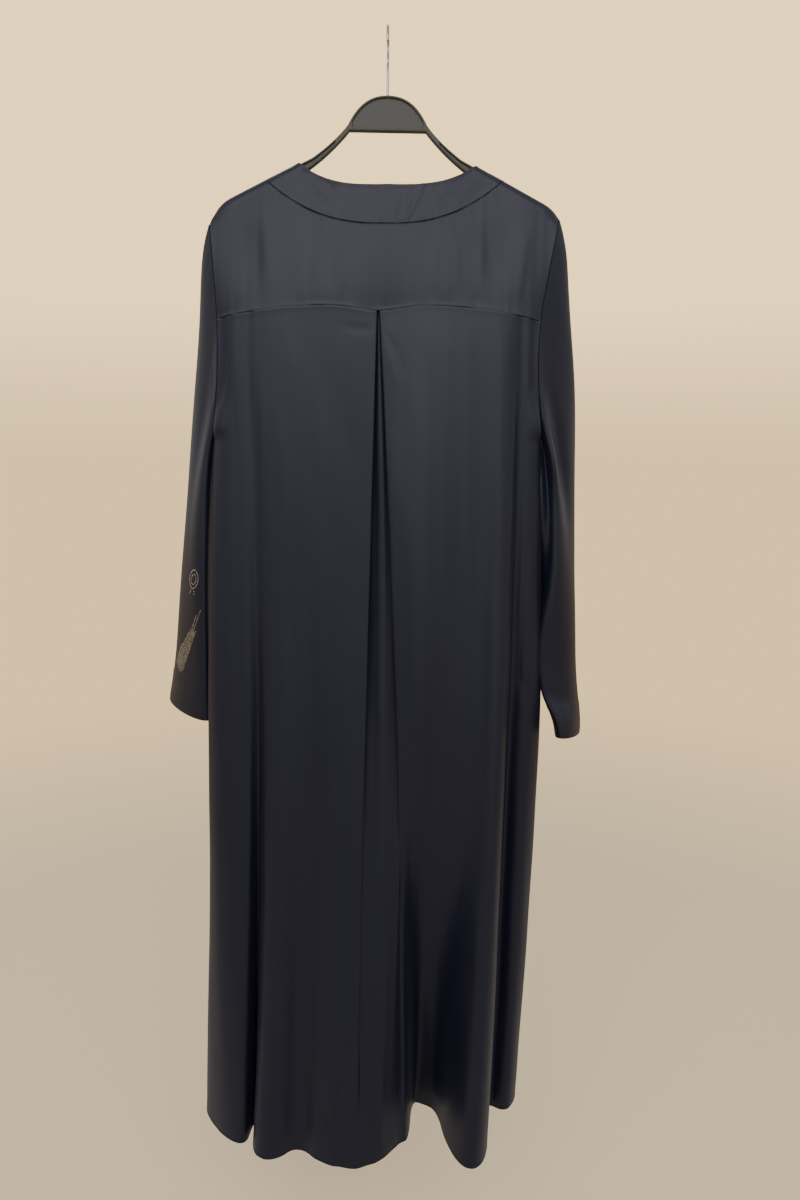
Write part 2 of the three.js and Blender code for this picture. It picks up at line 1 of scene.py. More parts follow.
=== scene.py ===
# A long abaya of dark satin on a plain shop hanger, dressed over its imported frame.
# Tables and shape functions are in millimetres, and meshes are in metres. The camera looks at the back.
import math

import bpy
import numpy as np
from mathutils import Matrix, Vector
from mathutils.bvhtree import BVHTree


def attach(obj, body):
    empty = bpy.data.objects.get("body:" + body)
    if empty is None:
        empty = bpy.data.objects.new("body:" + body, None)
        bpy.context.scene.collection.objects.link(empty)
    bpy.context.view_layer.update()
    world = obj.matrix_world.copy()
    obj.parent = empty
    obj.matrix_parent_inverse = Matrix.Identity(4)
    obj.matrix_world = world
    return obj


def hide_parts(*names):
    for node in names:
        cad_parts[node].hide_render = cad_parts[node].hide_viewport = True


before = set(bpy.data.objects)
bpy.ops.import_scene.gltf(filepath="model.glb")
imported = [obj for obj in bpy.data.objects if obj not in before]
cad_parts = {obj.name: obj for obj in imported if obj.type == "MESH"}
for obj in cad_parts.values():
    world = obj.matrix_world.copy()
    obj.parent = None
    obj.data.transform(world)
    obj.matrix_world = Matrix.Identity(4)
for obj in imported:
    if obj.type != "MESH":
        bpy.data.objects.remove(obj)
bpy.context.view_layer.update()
print("frame loaded:", len(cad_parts), "nodes")

heights = {"backNeck": -189, "backBand": -237, "yokeLine": -348, "underarm": -511, "knee": -911, "hem": -1557}
cutSizes = {
    "ridge": -104.5, "slope": 0.5, "lean": 0.012, "shoulderHalf": 228, "roundFrom": 200, "roundDrop": 0.0006,
    "neckSlide": -4, "neckHalf": {-1: 111, 1: 119}, "bandHalf": 154, "bandWide": 50,
    "vBottom": -400, "vSoft": 60,
    "capRadius": 10, "halfDepth": 28, "swell": 235, "edgeTurn": 9, "hemTurn": 24, "armDepth": 13,
    "wall": 1.0, "seamGap": 0.12, "sleeveGap": 0.7,
}


def lerp(a, b, t):
    return a + (b - a) * t


def ease(t):
    t = np.clip(t, 0, 1)
    return t * t * (3 - 2 * t)


def bell(d):
    return np.exp(-(d ** 2))


kneeShare = (heights["yokeLine"] - heights["knee"]) / (heights["yokeLine"] - heights["hem"])


# a parabola through three states of a fold: at the yoke line, at the knee and at the hem
def through(top, mid, hem, r):
    m = kneeShare
    return top * (r - m) * (r - 1) / m + mid * r * (r - 1) / (m * (m - 1)) + hem * r * (r - m) / (1 - m)


# the share of the way from the yoke line down to the hem
def downShare(z):
    return (heights["yokeLine"] - z) / (heights["yokeLine"] - heights["hem"])


# reads a column of a table sorted from the top down, with a smooth curve between its rows
def sectionAt(table, column, z):
    zs = np.array([row["z"] for row in table], float)
    values = np.array([row[column] for row in table], float)
    z = np.clip(z, zs[-1], zs[0])
    i = np.clip(np.searchsorted(-zs, -z, side="right") - 1, 0, len(zs) - 2)
    before = np.maximum(np.arange(len(zs)) - 1, 0)
    after = np.minimum(np.arange(len(zs)) + 1, len(zs) - 1)
    slopes = (values[after] - values[before]) / (zs[after] - zs[before])
    long = zs[i + 1] - zs[i]
    t = (z - zs[i]) / long
    t2, t3 = t * t, t * t * t
    return (values[i] * (2 * t3 - 3 * t2 + 1) + slopes[i] * long * (t3 - 2 * t2 + t)
            + values[i + 1] * (3 * t2 - 2 * t3) + slopes[i + 1] * long * (t3 - t2))


# the side edges of the body: the armhole down to the underarm, then the side seam
sideTable = [
    {"z": -226, "left": -232, "leftY": 0, "right": 224, "rightY": 0},
    {"z": -293, "left": -227, "leftY": 0, "right": 212, "rightY": 0},
    {"z": -355, "left": -224, "leftY": 0, "right": 203, "rightY": 0},
    {"z": -430, "left": -226, "leftY": 0, "right": 202, "rightY": 0},
    {"z": -511, "left": -234, "leftY": 0, "right": 211, "rightY": 0},
    {"z": -700, "left": -244, "leftY": -10, "right": 218, "rightY": 8},
    {"z": -911, "left": -252, "leftY": -12, "right": 223, "rightY": 15},
    {"z": -1200, "left": -261, "leftY": 0, "right": 221, "rightY": 38},
    {"z": -1557, "left": -282, "leftY": 30, "right": 212, "rightY": 68},
]


def ridge(x):
    c = cutSizes
    return (c["ridge"] - c["slope"] * np.abs(x) - c["lean"] * x
            - c["roundDrop"] * np.maximum(0, np.abs(x) - c["roundFrom"]) ** 3)


shoulderTip = {side: cutSizes["neckSlide"] + side * cutSizes["shoulderHalf"] for side in (-1, 1)}
armTop = float(ridge(shoulderTip[1]))


def armDepth(z):
    half = (armTop - heights["underarm"]) / 2
    s = np.minimum(1, np.abs(z - (armTop + heights["underarm"]) / 2) / half)
    return cutSizes["armDepth"] * (1 - s ** 3) ** (1 / 3)


def edgeX(side, z):
    return sectionAt(sideTable, "left" if side < 0 else "right", z)


# how far the side edge is from the middle, to the left or to the right
def sideReach(onLeft, z):
    return np.where(onLeft, edgeX(-1, z), edgeX(1, z)) - cutSizes["neckSlide"]


def archedLine(x, low, half, curve):
    slide = cutSizes["neckSlide"]
    share = np.abs(x - slide) / half
    end = ridge(slide + np.sign(x - slide) * half)
    return low + (end - low) * share ** curve


def neckHalf(x):
    halves = cutSizes["neckHalf"]
    return np.where(x < cutSizes["neckSlide"], halves[-1], halves[1])


def backNeckline(x):
    return archedLine(x, heights["backNeck"], neckHalf(x), 3.3)


def backBandSeam(x):
    return archedLine(x, heights["backBand"], cutSizes["bandHalf"], 2.4)


def yokeSeam(x):
    return -338.5 - 8 * bell((x + 11) / 40) - 18 * (np.abs(x + 12) / 212) ** 3


# how far the cloth stands from the mid plane above the yoke line
def upperDepth(x, z):
    c = cutSizes
    under = np.maximum(0, ridge(x) - z)
    cap = c["capRadius"] * np.sqrt(1 - (1 - np.minimum(1, under / c["capRadius"])) ** 2)
    middle = cap + (c["halfDepth"] - c["capRadius"]) * ease(under / c["swell"])
    reach = sideReach(x < c["neckSlide"], z)
    power = 8 + 16 * bell((z - armTop) / 34)
    atEdge = np.minimum(1, np.abs((x - c["neckSlide"]) / reach) ** power)
    return lerp(middle, armDepth(z), atEdge)


# nothing below zero and a straight rise above it, with a soft turn between
def softRise(d):
    return (d + np.hypot(d, cutSizes["vSoft"])) / 2


# the front opening's edge: a V at the neck over a narrow gap that runs down to the hem
def openingEdge(side, z):
    c = cutSizes
    low = np.clip((c["vBottom"] - z) / (c["vBottom"] - heights["hem"]), 0, 1)
    gap = lerp(2.5, 9, low)
    half = c["neckHalf"][side]
    tall = ridge(c["neckSlide"] + side * half) - c["vBottom"]
    widened = softRise(z - c["vBottom"]) / softRise(tall)
    return lerp(-4, -16, low) + side * (gap + (half - gap) * widened)


def bandEdge(side, z):
    slope = (openingEdge(side, z + 1) - openingEdge(side, z - 1)) / 2
    narrowed = (cutSizes["neckHalf"][side] - 110) * ease((z - cutSizes["vBottom"]) / 200)
    wide = cutSizes["bandWide"] - narrowed
    return openingEdge(side, z) + side * wide * np.hypot(1, slope)


def sideEdge(side, face, z):
    c = cutSizes
    below = ease((heights["underarm"] + 70 - z) / 65)
    x = edgeX(side, z)
    middle = sectionAt(sideTable, "leftY" if side < 0 else "rightY", z)
    y = middle + face * armDepth(z) + face * c["seamGap"] / 2
    down = np.clip(downShare(z), 0, 1)
    turn = lerp(c["edgeTurn"], c["hemTurn"], down)
    edge = np.stack([x, y, z], -1)
    inward = np.stack([x - side * lerp(9, 0, below), y + face * lerp(1, turn, below), z], -1)
    return edge, inward


# Rounds a path of control points, one path a row, as cloth rounds over its folds. Also gives each
# column's fold number, which is whole at a control point and half way between two.
def roundedPath(controls, rounds, perCorner, perFlank):
    last = controls.shape[1] - 1
    columns, folds = [controls[:, 0]], [0.0]
    corners = []
    for i in range(1, last):
        at = controls[:, i]
        ends = []
        for k in (i - 1, i + 1):
            reach = 0.8 if k in (0, last) else 0.5
            ends.append(at + (controls[:, k] - at) * reach * rounds[i])
        corners.append((at, *ends))
    before = controls[:, 0]
    for i, (at, start, end) in enumerate(corners, 1):
        sharp = np.ndim(rounds[i]) or np.ndim(rounds[i - 1]) or rounds[i] < 1 or rounds[i - 1] < 1
        flank = perFlank * 3 if i == 1 else (perFlank if sharp else 0)
        for k in range(1, flank + 1):
            columns.append(lerp(before, start, k / (flank + 1)))
            folds.append(i - 0.5)
        for k in range(perCorner):
            t = k / (perCorner - 1) if np.ndim(rounds[i]) or rounds[i] < 1 else (k + 0.5) / perCorner
            columns.append(lerp(lerp(start, at, t), lerp(at, end, t), t))
            folds.append(i - 0.5 + t)
        before = end
    for k in range(1, perFlank * 3 + 1):
        columns.append(lerp(before, controls[:, last], k / (perFlank * 3 + 1)))
        folds.append(last - 0.5)
    columns.append(controls[:, last])
    folds.append(float(last))
    return np.stack(columns, 1), np.array(folds)


def unit(v):
    return v / np.maximum(np.linalg.norm(v, axis=-1, keepdims=True), 1e-9)


def gridNormals(grid, tube=False, flip=False):
    if tube:
        along = np.roll(grid, -1, 1) - np.roll(grid, 1, 1)
    else:
        along = np.gradient(grid, axis=1)
    down = np.gradient(grid, axis=0)
    return unit(np.cross(along, down)) * (-1 if flip else 1)


# smooth waves of mixed length, for the unevenness of hanging cloth
def softNoise(u, v, wideU, wideV, seed):
    dice = np.random.default_rng(seed)
    total = np.zeros_like(u)
    for _ in range(14):
        ku, kv = dice.normal(0, 1, 2)
        total += np.sin(u * ku * 2.2 / wideU + v * kv * 2.2 / wideV + dice.uniform(0, 6.283))
    return total / 3.7


# small gathers that run off a seam: away is the distance from it and along the place on it
def puckers(away, along, high, wide, reach, seed):
    wave = np.sin(along * 6.283 / wide + 1.6 * softNoise(along, along * 0, wide * 3, 1e9, seed))
    uneven = 0.6 + 0.4 * softNoise(along, along * 0, wide * 6, 1e9, seed + 1)
    return high * wave * np.exp(-(away / reach)) * uneven


# A crease on the cloth as it hangs, from start by mid to end, as (x, z). It is wide on its near side and soft
# on its far one, and stands out by high at its middle.
def creaseRow(start, mid, end, wide, soft, high, taper=0.7):
    return {"path": (start, mid, end), "wide": wide, "soft": soft, "high": high, "taper": taper}


def creaseRelief(x, z, table):
    total = np.zeros_like(x)
    for row in table.values():
        start, mid, end = (np.array(point, float) for point in row["path"])
        control = 2 * mid - (start + end) / 2
        best = np.full(x.shape, 1e9)
        share = np.zeros_like(x)
        sign = np.ones_like(x)
        steps = 14
        for k in range(steps):
            ta, tb = k / steps, (k + 1) / steps
            a = lerp(lerp(start, control, ta), lerp(control, end, ta), ta)
            b = lerp(lerp(start, control, tb), lerp(control, end, tb), tb)
            d = b - a
            long = float(d @ d)
            s = np.clip(((x - a[0]) * d[0] + (z - a[1]) * d[1]) / long, 0, 1)
            dx, dz = x - a[0] - s * d[0], z - a[1] - s * d[1]
            far = np.hypot(dx, dz)
            nearer = far < best
            best = np.where(nearer, far, best)
            share = np.where(nearer, lerp(ta, tb, s), share)
            sign = np.where(nearer, np.sign(d[0] * dz - d[1] * dx), sign)
        wide = np.where(sign > 0, row["wide"], row["soft"])
        fade = np.sin(np.pi * np.clip(share, 0, 1)) ** row["taper"]
        total += row["high"] * fade * bell(best / wide)
    return total


sideName = {-1: "Left", 1: "Right"}
satinPieces = []
gridOf = {}


# Turns a grid of points, rows by columns, into a closed cloth wall with its own flat map in metres.
def clothPiece(name, grid, tube=False, flip=False, extra=None):
    rows, cols = grid.shape[:2]
    normals = gridNormals(grid, tube, flip)
    half = cutSizes["wall"] / 2
    if extra is not None:
        half = half + extra[..., None] / 2
    outer, inner = grid + normals * half, grid - normals * half
    points = np.concatenate([outer.reshape(-1, 3), inner.reshape(-1, 3)]) / 1000
    lastCol = cols if tube else cols - 1
    j, i = np.meshgrid(np.arange(rows - 1), np.arange(lastCol), indexing="ij")
    a, b = j * cols + i, j * cols + (i + 1) % cols
    c, d = (j + 1) * cols + (i + 1) % cols, (j + 1) * cols + i
    n = rows * cols
    quads = [np.stack([a, b, c, d], -1).reshape(-1, 4)]
    quads.append(np.stack([a + n, d + n, c + n, b + n], -1).reshape(-1, 4))
    k = np.arange(lastCol)
    k1 = (k + 1) % cols
    foot = (rows - 1) * cols
    quads.append(np.stack([k, k + n, k1 + n, k1], -1))
    quads.append(np.stack([foot + k, foot + k1, foot + k1 + n, foot + k + n], -1))
    if not tube:
        r = np.arange(rows - 1) * cols
        quads.append(np.stack([r, r + cols, r + cols + n, r + n], -1))
        e = r + cols - 1
        quads.append(np.stack([e, e + n, e + cols + n, e + cols], -1))
    faces = np.concatenate(quads)
    if flip:
        faces = faces[:, ::-1]
    mesh = bpy.data.meshes.new(name)
    mesh.vertices.add(len(points))
    mesh.vertices.foreach_set("co", points.ravel())
    mesh.loops.add(faces.size)
    mesh.loops.foreach_set("vertex_index", faces.ravel().astype(np.int32))
    mesh.polygons.add(len(faces))
    mesh.polygons.foreach_set("loop_start", np.arange(0, faces.size, 4, dtype=np.int32))
    mesh.update(calc_edges=True)
    across = np.zeros((rows, cols))
    across[:, 1:] = np.cumsum(np.linalg.norm(np.diff(grid, axis=1), axis=2), 1)
    across -= across[:, cols // 2:cols // 2 + 1]
    length = np.zeros((rows, cols))
    length[1:] = np.cumsum(np.linalg.norm(np.diff(grid, axis=0), axis=2), 0)
    flat = np.stack([across.ravel(), -length.ravel()], -1) / 1000
    uv = mesh.uv_layers.new(name="cut")
    uv.data.foreach_set("uv", np.concatenate([flat, flat])[faces.ravel()].ravel())
    mesh.polygons.foreach_set("use_smooth", np.ones(len(faces), bool))
    mesh.set_sharp_from_angle(angle=math.radians(64))
    piece = bpy.data.objects.new(name, mesh)
    bpy.context.scene.collection.objects.link(piece)
    gridOf[name] = (outer, normals)
    satinPieces.append(piece)
    return piece


# a hem turned up inside: a small roll above the edge, ripples at it, and a second layer of cloth
hemLook = {
    "roll": 7, "rollWide": 3.5, "rollHigh": 0.5, "rippleHigh": 0.3, "rippleReach": 16,
    "deep": 16, "soft": 4, "thick": 0.7,
}


def hemRelief(x, z):
    look = hemLook
    fromHem = z - heights["hem"]
    roll = look["rollHigh"] * bell((fromHem - look["roll"]) / look["rollWide"])
    ripples = look["rippleHigh"] * softNoise(x, z, 9, 26, 31) * np.exp(-fromHem / look["rippleReach"])
    return roll + ripples


def hemThickness(z):
    return hemLook["thick"] * ease((hemLook["deep"] - (z - heights["hem"])) / hemLook["soft"])


# the back, whose folds run from the yoke line to the hem
backLook = {
    "rows": 168, "perCorner": 8, "perFlank": 2, "endCrowding": 0.55,
    "softStart": 0.05, "softFrom": 0.25, "softLong": 0.45,
    "fillAt": 0.66, "fillLong": 0.26, "turnIn": 2.2, "turnUp": 3.5,
    "seamSink": 0.4, "puckerHigh": 0.2, "puckerWide": 13, "waveHigh": 0.9,
}
crease = {"round": 0.5, "softHem": 0.96}
tuck = {"round": 0.6, "softHem": 0.96}


# A fold's x at the yoke line, how far it lies in there, and its (x, y) at the knee and at the hem. fill moves
# it in or out between those.
def foldRow(xTop, behind, knee, hem, **more):
    return {"xTop": xTop, "behind": behind, "knee": knee, "hem": hem, **more}


backFolds = {
    "left lobe": foldRow(-208, 0, (-228, -54), (-244, -46)),
    "left lobe flank": foldRow(-194, 0, (-189, -58), (-208, -62), round=0.8),
    "deep fold, left wall": foldRow(-184, 1, (-179, -44), (-203, -18), fill=-6),
    "deep fold, right wall": foldRow(-181, 1, (-175, -43), (-200, -15), fill=-6),
    "second lobe flank": foldRow(-168, 0, (-163, -60), (-195, -78), round=0.8),
    "second lobe": foldRow(-142, -1, (-140, -68), (-163, -94)),
    "shallow trough": foldRow(-100, 1, (-106, -60), (-128, -60)),
    "middle lobe": foldRow(-58, 0, (-68, -66), (-88, -98)),
    "pleat, left crease": foldRow(-13, 0, (-26, -72), (-40, -105), **crease),
    "pleat, left return": foldRow(-13, 3.6, (-27, -64), (-36, -103.6), **crease),
    "pleat, left tuck": foldRow(-54, 3.6, (-46, -56), (-30, -101), fill=-8, **tuck),
    "pleat, underlay left": foldRow(-54, 8, (-40, -51), (-27, -99.5), fill=-11, **tuck),
    "pleat, left groove": foldRow(-17, 11, (-18, -53), (-21, -97), fill=-9),
    "pleat, soft ridge": foldRow(-11, 6, (-4, -61), (-14, -95), fill=-7),
    "pleat, right groove": foldRow(-5, 11, (8, -57), (-8, -90.5), fill=-6),
    "pleat, underlay right": foldRow(32, 8, (20, -56), (-2, -85.5), fill=-5, **tuck),
    "pleat, right tuck": foldRow(32, 3.6, (26, -61), (12, -70), fill=-4, **tuck),
    "pleat, right return": foldRow(-9, 3.6, (14, -66), (24, -54), **crease),
    "pleat, right crease": foldRow(-9, 0, (18, -71), (38, -48), **crease),
    "right panel": foldRow(34, 0, (44, -70), (42, 32), fill=-6),
    "wide trough, left": foldRow(66, 0, (70, -60), (60, 28), fill=-8),
    "wide trough, right": foldRow(100, 1, (102, -58), (84, 12), fill=-10),
    "fourth lobe, left wall": foldRow(130, 0, (126, -63), (95, -62)),
    "fourth lobe": foldRow(150, -1, (148, -78), (124, -113)),
    "fourth lobe, right wall": foldRow(168, 0, (168, -64), (157, -80)),
    "side trough": foldRow(178, 2, (171, -10), (158, 34), round=0.9),
    "side ridge": foldRow(187, 0, (198, -26), (192, 8)),
}
backCreases = {
    "pressed line, left of the pleat": creaseRow((-38, -1020), (-42, -1180), (-44, -1340), 2.5, 9, 1.2),
    "pull at the pleat's head": creaseRow((0, -372), (12, -398), (26, -432), 2.2, 4, 0.9),
    "second pull at the pleat": creaseRow((2, -395), (10, -425), (16, -458), 2.2, 4, -0.6),
    "drag at the pleat's left": creaseRow((-16, -366), (-34, -372), (-62, -364), 4, 8, 0.5),
    "low pull one": creaseRow((-58, -1338), (-48, -1320), (-38, -1306), 3.5, 7, 1.8),
    "low pull two": creaseRow((-64, -1392), (-52, -1368), (-38, -1348), 3.5, 8, 2.8),
    "low pull three": creaseRow((-72, -1452), (-58, -1420), (-39, -1394), 4, 9, 3.2),
    "low pull four": creaseRow((-82, -1512), (-66, -1478), (-42, -1446), 4, 9, 2.8),
    "hem bulge": creaseRow((-86, -1440), (-78, -1490), (-58, -1536), 7, 12, 2.4),
    "right hem pull": creaseRow((0, -1536), (14, -1510), (24, -1470), 4, 9, 2.0),
    "right panel line": creaseRow((34, -900), (34, -1150), (30, -1400), 5, 14, 0.5),
    "left panel line": creaseRow((-120, -420), (-128, -700), (-134, -1000), 9, 22, 1.4),
    "right panel soft line": creaseRow((96, -400), (100, -620), (104, -860), 9, 24, 1.6),
    "side seam pocket line": creaseRow((196, -640), (192, -760), (186, -900), 2, 7, 1.8),
    "pocket pull": creaseRow((186, -835), (195, -850), (199, -878), 3, 6, 2.0),
}


def shareSteps(count, crowding):
    s = np.linspace(0, 1, count)
    return s - crowding * np.sin(2 * np.pi * s) / (2 * np.pi)


def backBody():
    look = backLook
    share = shareSteps(look["rows"], look["endCrowding"])

    def zAt(x):
        return lerp(yokeSeam(x) - cutSizes["seamGap"] / 2, heights["hem"], share)

    deepen = share - look["softStart"] * np.sin(2 * np.pi * share)
    controls = []
    filled = bell((share - look["fillAt"]) / look["fillLong"]) * ease((1 - share) / 0.3)
    for f in backFolds.values():
        (xKnee, yKnee), (xHem, yHem) = f["knee"], f["hem"]
        yTop = f["behind"] - upperDepth(f["xTop"], yokeSeam(f["xTop"]))
        x = through(f["xTop"], xKnee, xHem, share)
        y = through(yTop, yKnee, yHem, deepen) + f.get("fill", 0) * filled
        controls.append(np.stack([x, y, zAt(f["xTop"])], -1))
    left, leftIn = sideEdge(-1, -1, zAt(-224))
    right, rightIn = sideEdge(1, -1, zAt(203))
    controls = np.stack([left, leftIn, *controls, rightIn, right], 1)
    soften = ease((share - look["softFrom"]) / look["softLong"])[:, None]
    rounds = [1, 1]
    for f in backFolds.values():
        rounds.append(lerp(f["round"], f["softHem"], soften) if "softHem" in f else f.get("round", 1))
    rounds += [1, 1]
    grid, folds = roundedPath(controls, rounds, look["perCorner"], look["perFlank"])
    seam = yokeSeam(grid[0, :, 0]) - cutSizes["seamGap"] / 2
    grid[..., 2] = lerp(seam[None, :], heights["hem"], share[:, None])
    turned = grid[:1] + np.array([0, look["turnIn"], look["turnUp"]])  # the seam turning, behind the yoke
    grid = np.concatenate([turned, grid])
    x, z = grid[..., 0], grid[..., 2]
    shown = (folds < 10.4) | (folds > 19.6)  # not the pleat's inner layers
    away = yokeSeam(x) - z
    relief = creaseRelief(x, z, backCreases) * shown
    wave = look["waveHigh"] * softNoise(x, z, 55, 420, 11)
    relief += wave * ease(away / 160) * ease((z - heights["hem"]) / 60)
    relief += 0.35 * softNoise(x, z, 16, 90, 12) * ease(away / 60)
    relief += 0.1 * softNoise(x, z, 7, 260, 13) * ease(away / 30)
    relief += puckers(away, x, look["puckerHigh"], look["puckerWide"], 26, 21) * shown
    relief -= look["seamSink"] * bell(away / 4)
    relief += hemRelief(x, z)
    grid = grid + gridNormals(grid) * relief[..., None]
    return clothPiece("satinBackBody", grid, extra=hemThickness(z))


yokeLook = {
    "columns": 190, "rows": 66, "edgeRoll": 0.22, "puckerHigh": 0.14, "puckerWide": 11, "waveHigh": 0.4,
    "turnIn": 1.9, "turnUp": 4,
}
yokeCreases = {
    "fall one": creaseRow((-104, -246), (-106, -290), (-112, -336), 4, 10, 1.2),
    "fall two": creaseRow((-84, -236), (-88, -285), (-92, -334), 3, 9, 1.1),
    "fall three": creaseRow((-66, -246), (-70, -292), (-72, -338), 4, 9, -0.9),
    "fall four": creaseRow((-50, -248), (-54, -292), (-58, -336), 3, 8, 0.9),
    "fall five": creaseRow((60, -246), (62, -285), (60, -326), 4, 10, 0.8),
    "fall six": creaseRow((86, -236), (90, -280), (90, -322), 5, 12, 0.9),
    "left shoulder hollow": creaseRow((-170, -226), (-172, -270), (-170, -330), 18, 24, -1.5, taper=1.6),
    "left shoulder fall": creaseRow((-154, -220), (-154, -270), (-150, -330), 6, 14, 1.2, taper=1.4),
    "right shoulder hollow": creaseRow((142, -222), (148, -270), (150, -332), 20, 28, -1.5, taper=1.6),
    "right shoulder fall": creaseRow((118, -226), (120, -280), (120, -330), 7, 12, 1.2),
    "right tip fall": creaseRow((180, -236), (178, -280), (172, -330), 6, 12, 1.2),
}


def backYoke():
    look, c = yokeLook, cutSizes
    u = np.linspace(-1, 1, look["columns"])[None, :]
    nearTop = [0, 0.003, 0.008, 0.016, 0.027, 0.042, 0.06, 0.083]
    nearFoot = [0.962, 0.973, 0.981, 0.987, 0.992, 0.996, 0.9985, 1]
    between = np.linspace(0.11, 0.95, look["rows"] - len(nearTop) - len(nearFoot))
    v = np.concatenate([nearTop, between, nearFoot])[:, None]
    xTop = c["neckSlide"] + u * c["shoulderHalf"]
    onBand = np.abs(u) * c["shoulderHalf"] < c["bandHalf"]
    turnUp = look["turnUp"] * (1 - np.minimum(1, np.abs(u) * c["shoulderHalf"] / c["bandHalf"]) ** 6)
    top = np.where(onBand, backBandSeam(xTop) + turnUp, ridge(xTop))
    halfFoot = np.abs(sideReach(u < 0, heights["yokeLine"]))
    foot = yokeSeam(c["neckSlide"] + u * halfFoot) + c["seamGap"] / 2
    z = lerp(top, foot, v)
    x = c["neckSlide"] + u * np.abs(sideReach(u < 0, z))
    toSeam = z - yokeSeam(x)
    toBand = np.where(np.abs(x - c["neckSlide"]) < c["bandHalf"], backBandSeam(np.clip(x, -158, 150)) - z, 99)
    turnIn = look["turnIn"] * ease((0.6 - toBand) / 1.6) * onBand
    grid = np.stack([x, turnIn - upperDepth(x, z) - c["seamGap"] / 2, z], -1)
    inside = ease((ridge(x) - z) / 14)
    relief = 0.9 * creaseRelief(x, z, yokeCreases) * inside
    relief += look["waveHigh"] * softNoise(x, z, 26, 120, 41) * inside * ease(toSeam / 20)
    relief += 0.2 * softNoise(x, z, 8, 100, 44) * inside
    relief += puckers(np.maximum(toSeam, 0), x, look["puckerHigh"], look["puckerWide"], 10, 42)
    relief += puckers(np.maximum(toBand, 0), x, 0.42, 17, 14, 43) * inside
    relief += look["edgeRoll"] * bell((toSeam - 1) / 1.8) * (1 + 0.8 * softNoise(x, z, 20, 60, 45))
    relief -= 0.4 * bell(toBand / 3) * inside
    grid = grid + gridNormals(grid, flip=True) * relief[..., None]
    return clothPiece("satinBackYoke", grid, flip=True, extra=0.5 * bell(toSeam / 5))


bandCreases = {
    "slant fold": creaseRow((50, -184), (37, -210), (23, -238), 1.3, 3, 1.5, taper=0.4),
    "slant shade": creaseRow((24, -191), (19, -214), (13, -240), 1.6, 4, -0.9),
    "slant shade beside": creaseRow((38, -186), (30, -208), (18, -236), 1.6, 3, -0.7),
    "left turn": creaseRow((-96, -176), (-88, -190), (-70, -206), 2, 5, 0.9),
    "left ripple": creaseRow((-78, -184), (-66, -200), (-50, -218), 2, 5, -0.8),
    "middle ripple": creaseRow((-30, -192), (-26, -212), (-26, -236), 3, 7, 0.7),
    "right turn": creaseRow((70, -186), (80, -196), (98, -196), 2, 5, 0.9),
    "right ripple": creaseRow((58, -196), (72, -212), (86, -214), 2, 4, 0.7),
}


bandLook = {"columns": 170, "wide": 45, "hemHigh": 0.9, "rollHigh": 0.25}


def backNeckband():
    look, c = bandLook, cutSizes
    u = np.linspace(-1, 1, look["columns"])[None, :]
    levels = [0, 0.02, 0.045, 0.08, 0.14, 0.22, 0.31, 0.41, 0.51, 0.61, 0.71, 0.8, 0.87, 0.92, 0.955, 0.98, 1]
    v = np.array(levels)[:, None]
    inner = c["neckSlide"] + u * np.where(u < 0, c["neckHalf"][-1], c["neckHalf"][1])
    outer = c["neckSlide"] + u * (c["bandHalf"] - 2 * c["seamGap"])
    x = lerp(inner, outer, v)
    z = lerp(backNeckline(inner), backBandSeam(outer) + c["seamGap"] / 2, v)
    grid = np.stack([x, -upperDepth(x, z) - c["seamGap"] / 2, z], -1)
    inside = ease((ridge(x) - z) / 12)
    toNeck, toSeam = v * look["wide"], (1 - v) * look["wide"]
    relief = 0.9 * creaseRelief(x, z, bandCreases) + 0.2 * softNoise(x, z, 14, 20, 51) * inside
    relief = relief + look["rollHigh"] * bell(toSeam / 3.5) * inside
    relief = relief + puckers(toSeam, x, 0.24, 9, 7, 52) * inside
    relief = relief + puckers(toNeck, x, 0.16, 8, 5, 53) * inside
    grid = grid + gridNormals(grid, flip=True) * relief[..., None]
    thick = look["hemHigh"] * bell(toNeck / 4) + 0 * x
    return clothPiece("satinBackNeckband", grid, flip=True, extra=thick)


# the two fronts, which the camera doesn't see in the first view, and the bands along their edges
frontLook = {"rows": 150, "perCorner": 18, "perFlank": 4, "waveHigh": 1.2}
frontFolds = {
    -1: [
        {"fold": "inner crest", "top": 0.2, "mid": 0.19, "hem": 0.16, "yMid": 72, "yHem": 122},
        {"fold": "inner trough", "top": 0.42, "mid": 0.41, "hem": 0.36, "yMid": 38, "yHem": 52},
        {"fold": "outer crest", "top": 0.62, "mid": 0.62, "hem": 0.6, "yMid": 62, "yHem": 118},
        {"fold": "outer trough", "top": 0.84, "mid": 0.83, "hem": 0.8, "yMid": 16, "yHem": 42},
    ],
    1: [
        {"fold": "inner crest", "top": 0.25, "mid": 0.24, "hem": 0.2, "yMid": 74, "yHem": 126},
        {"fold": "inner trough", "top": 0.5, "mid": 0.48, "hem": 0.46, "yMid": 40, "yHem": 60},
        {"fold": "outer crest", "top": 0.7, "mid": 0.68, "hem": 0.68, "yMid": 64, "yHem": 116},
        {"fold": "outer trough", "top": 0.88, "mid": 0.86, "hem": 0.86, "yMid": 34, "yHem": 74},
    ],
}
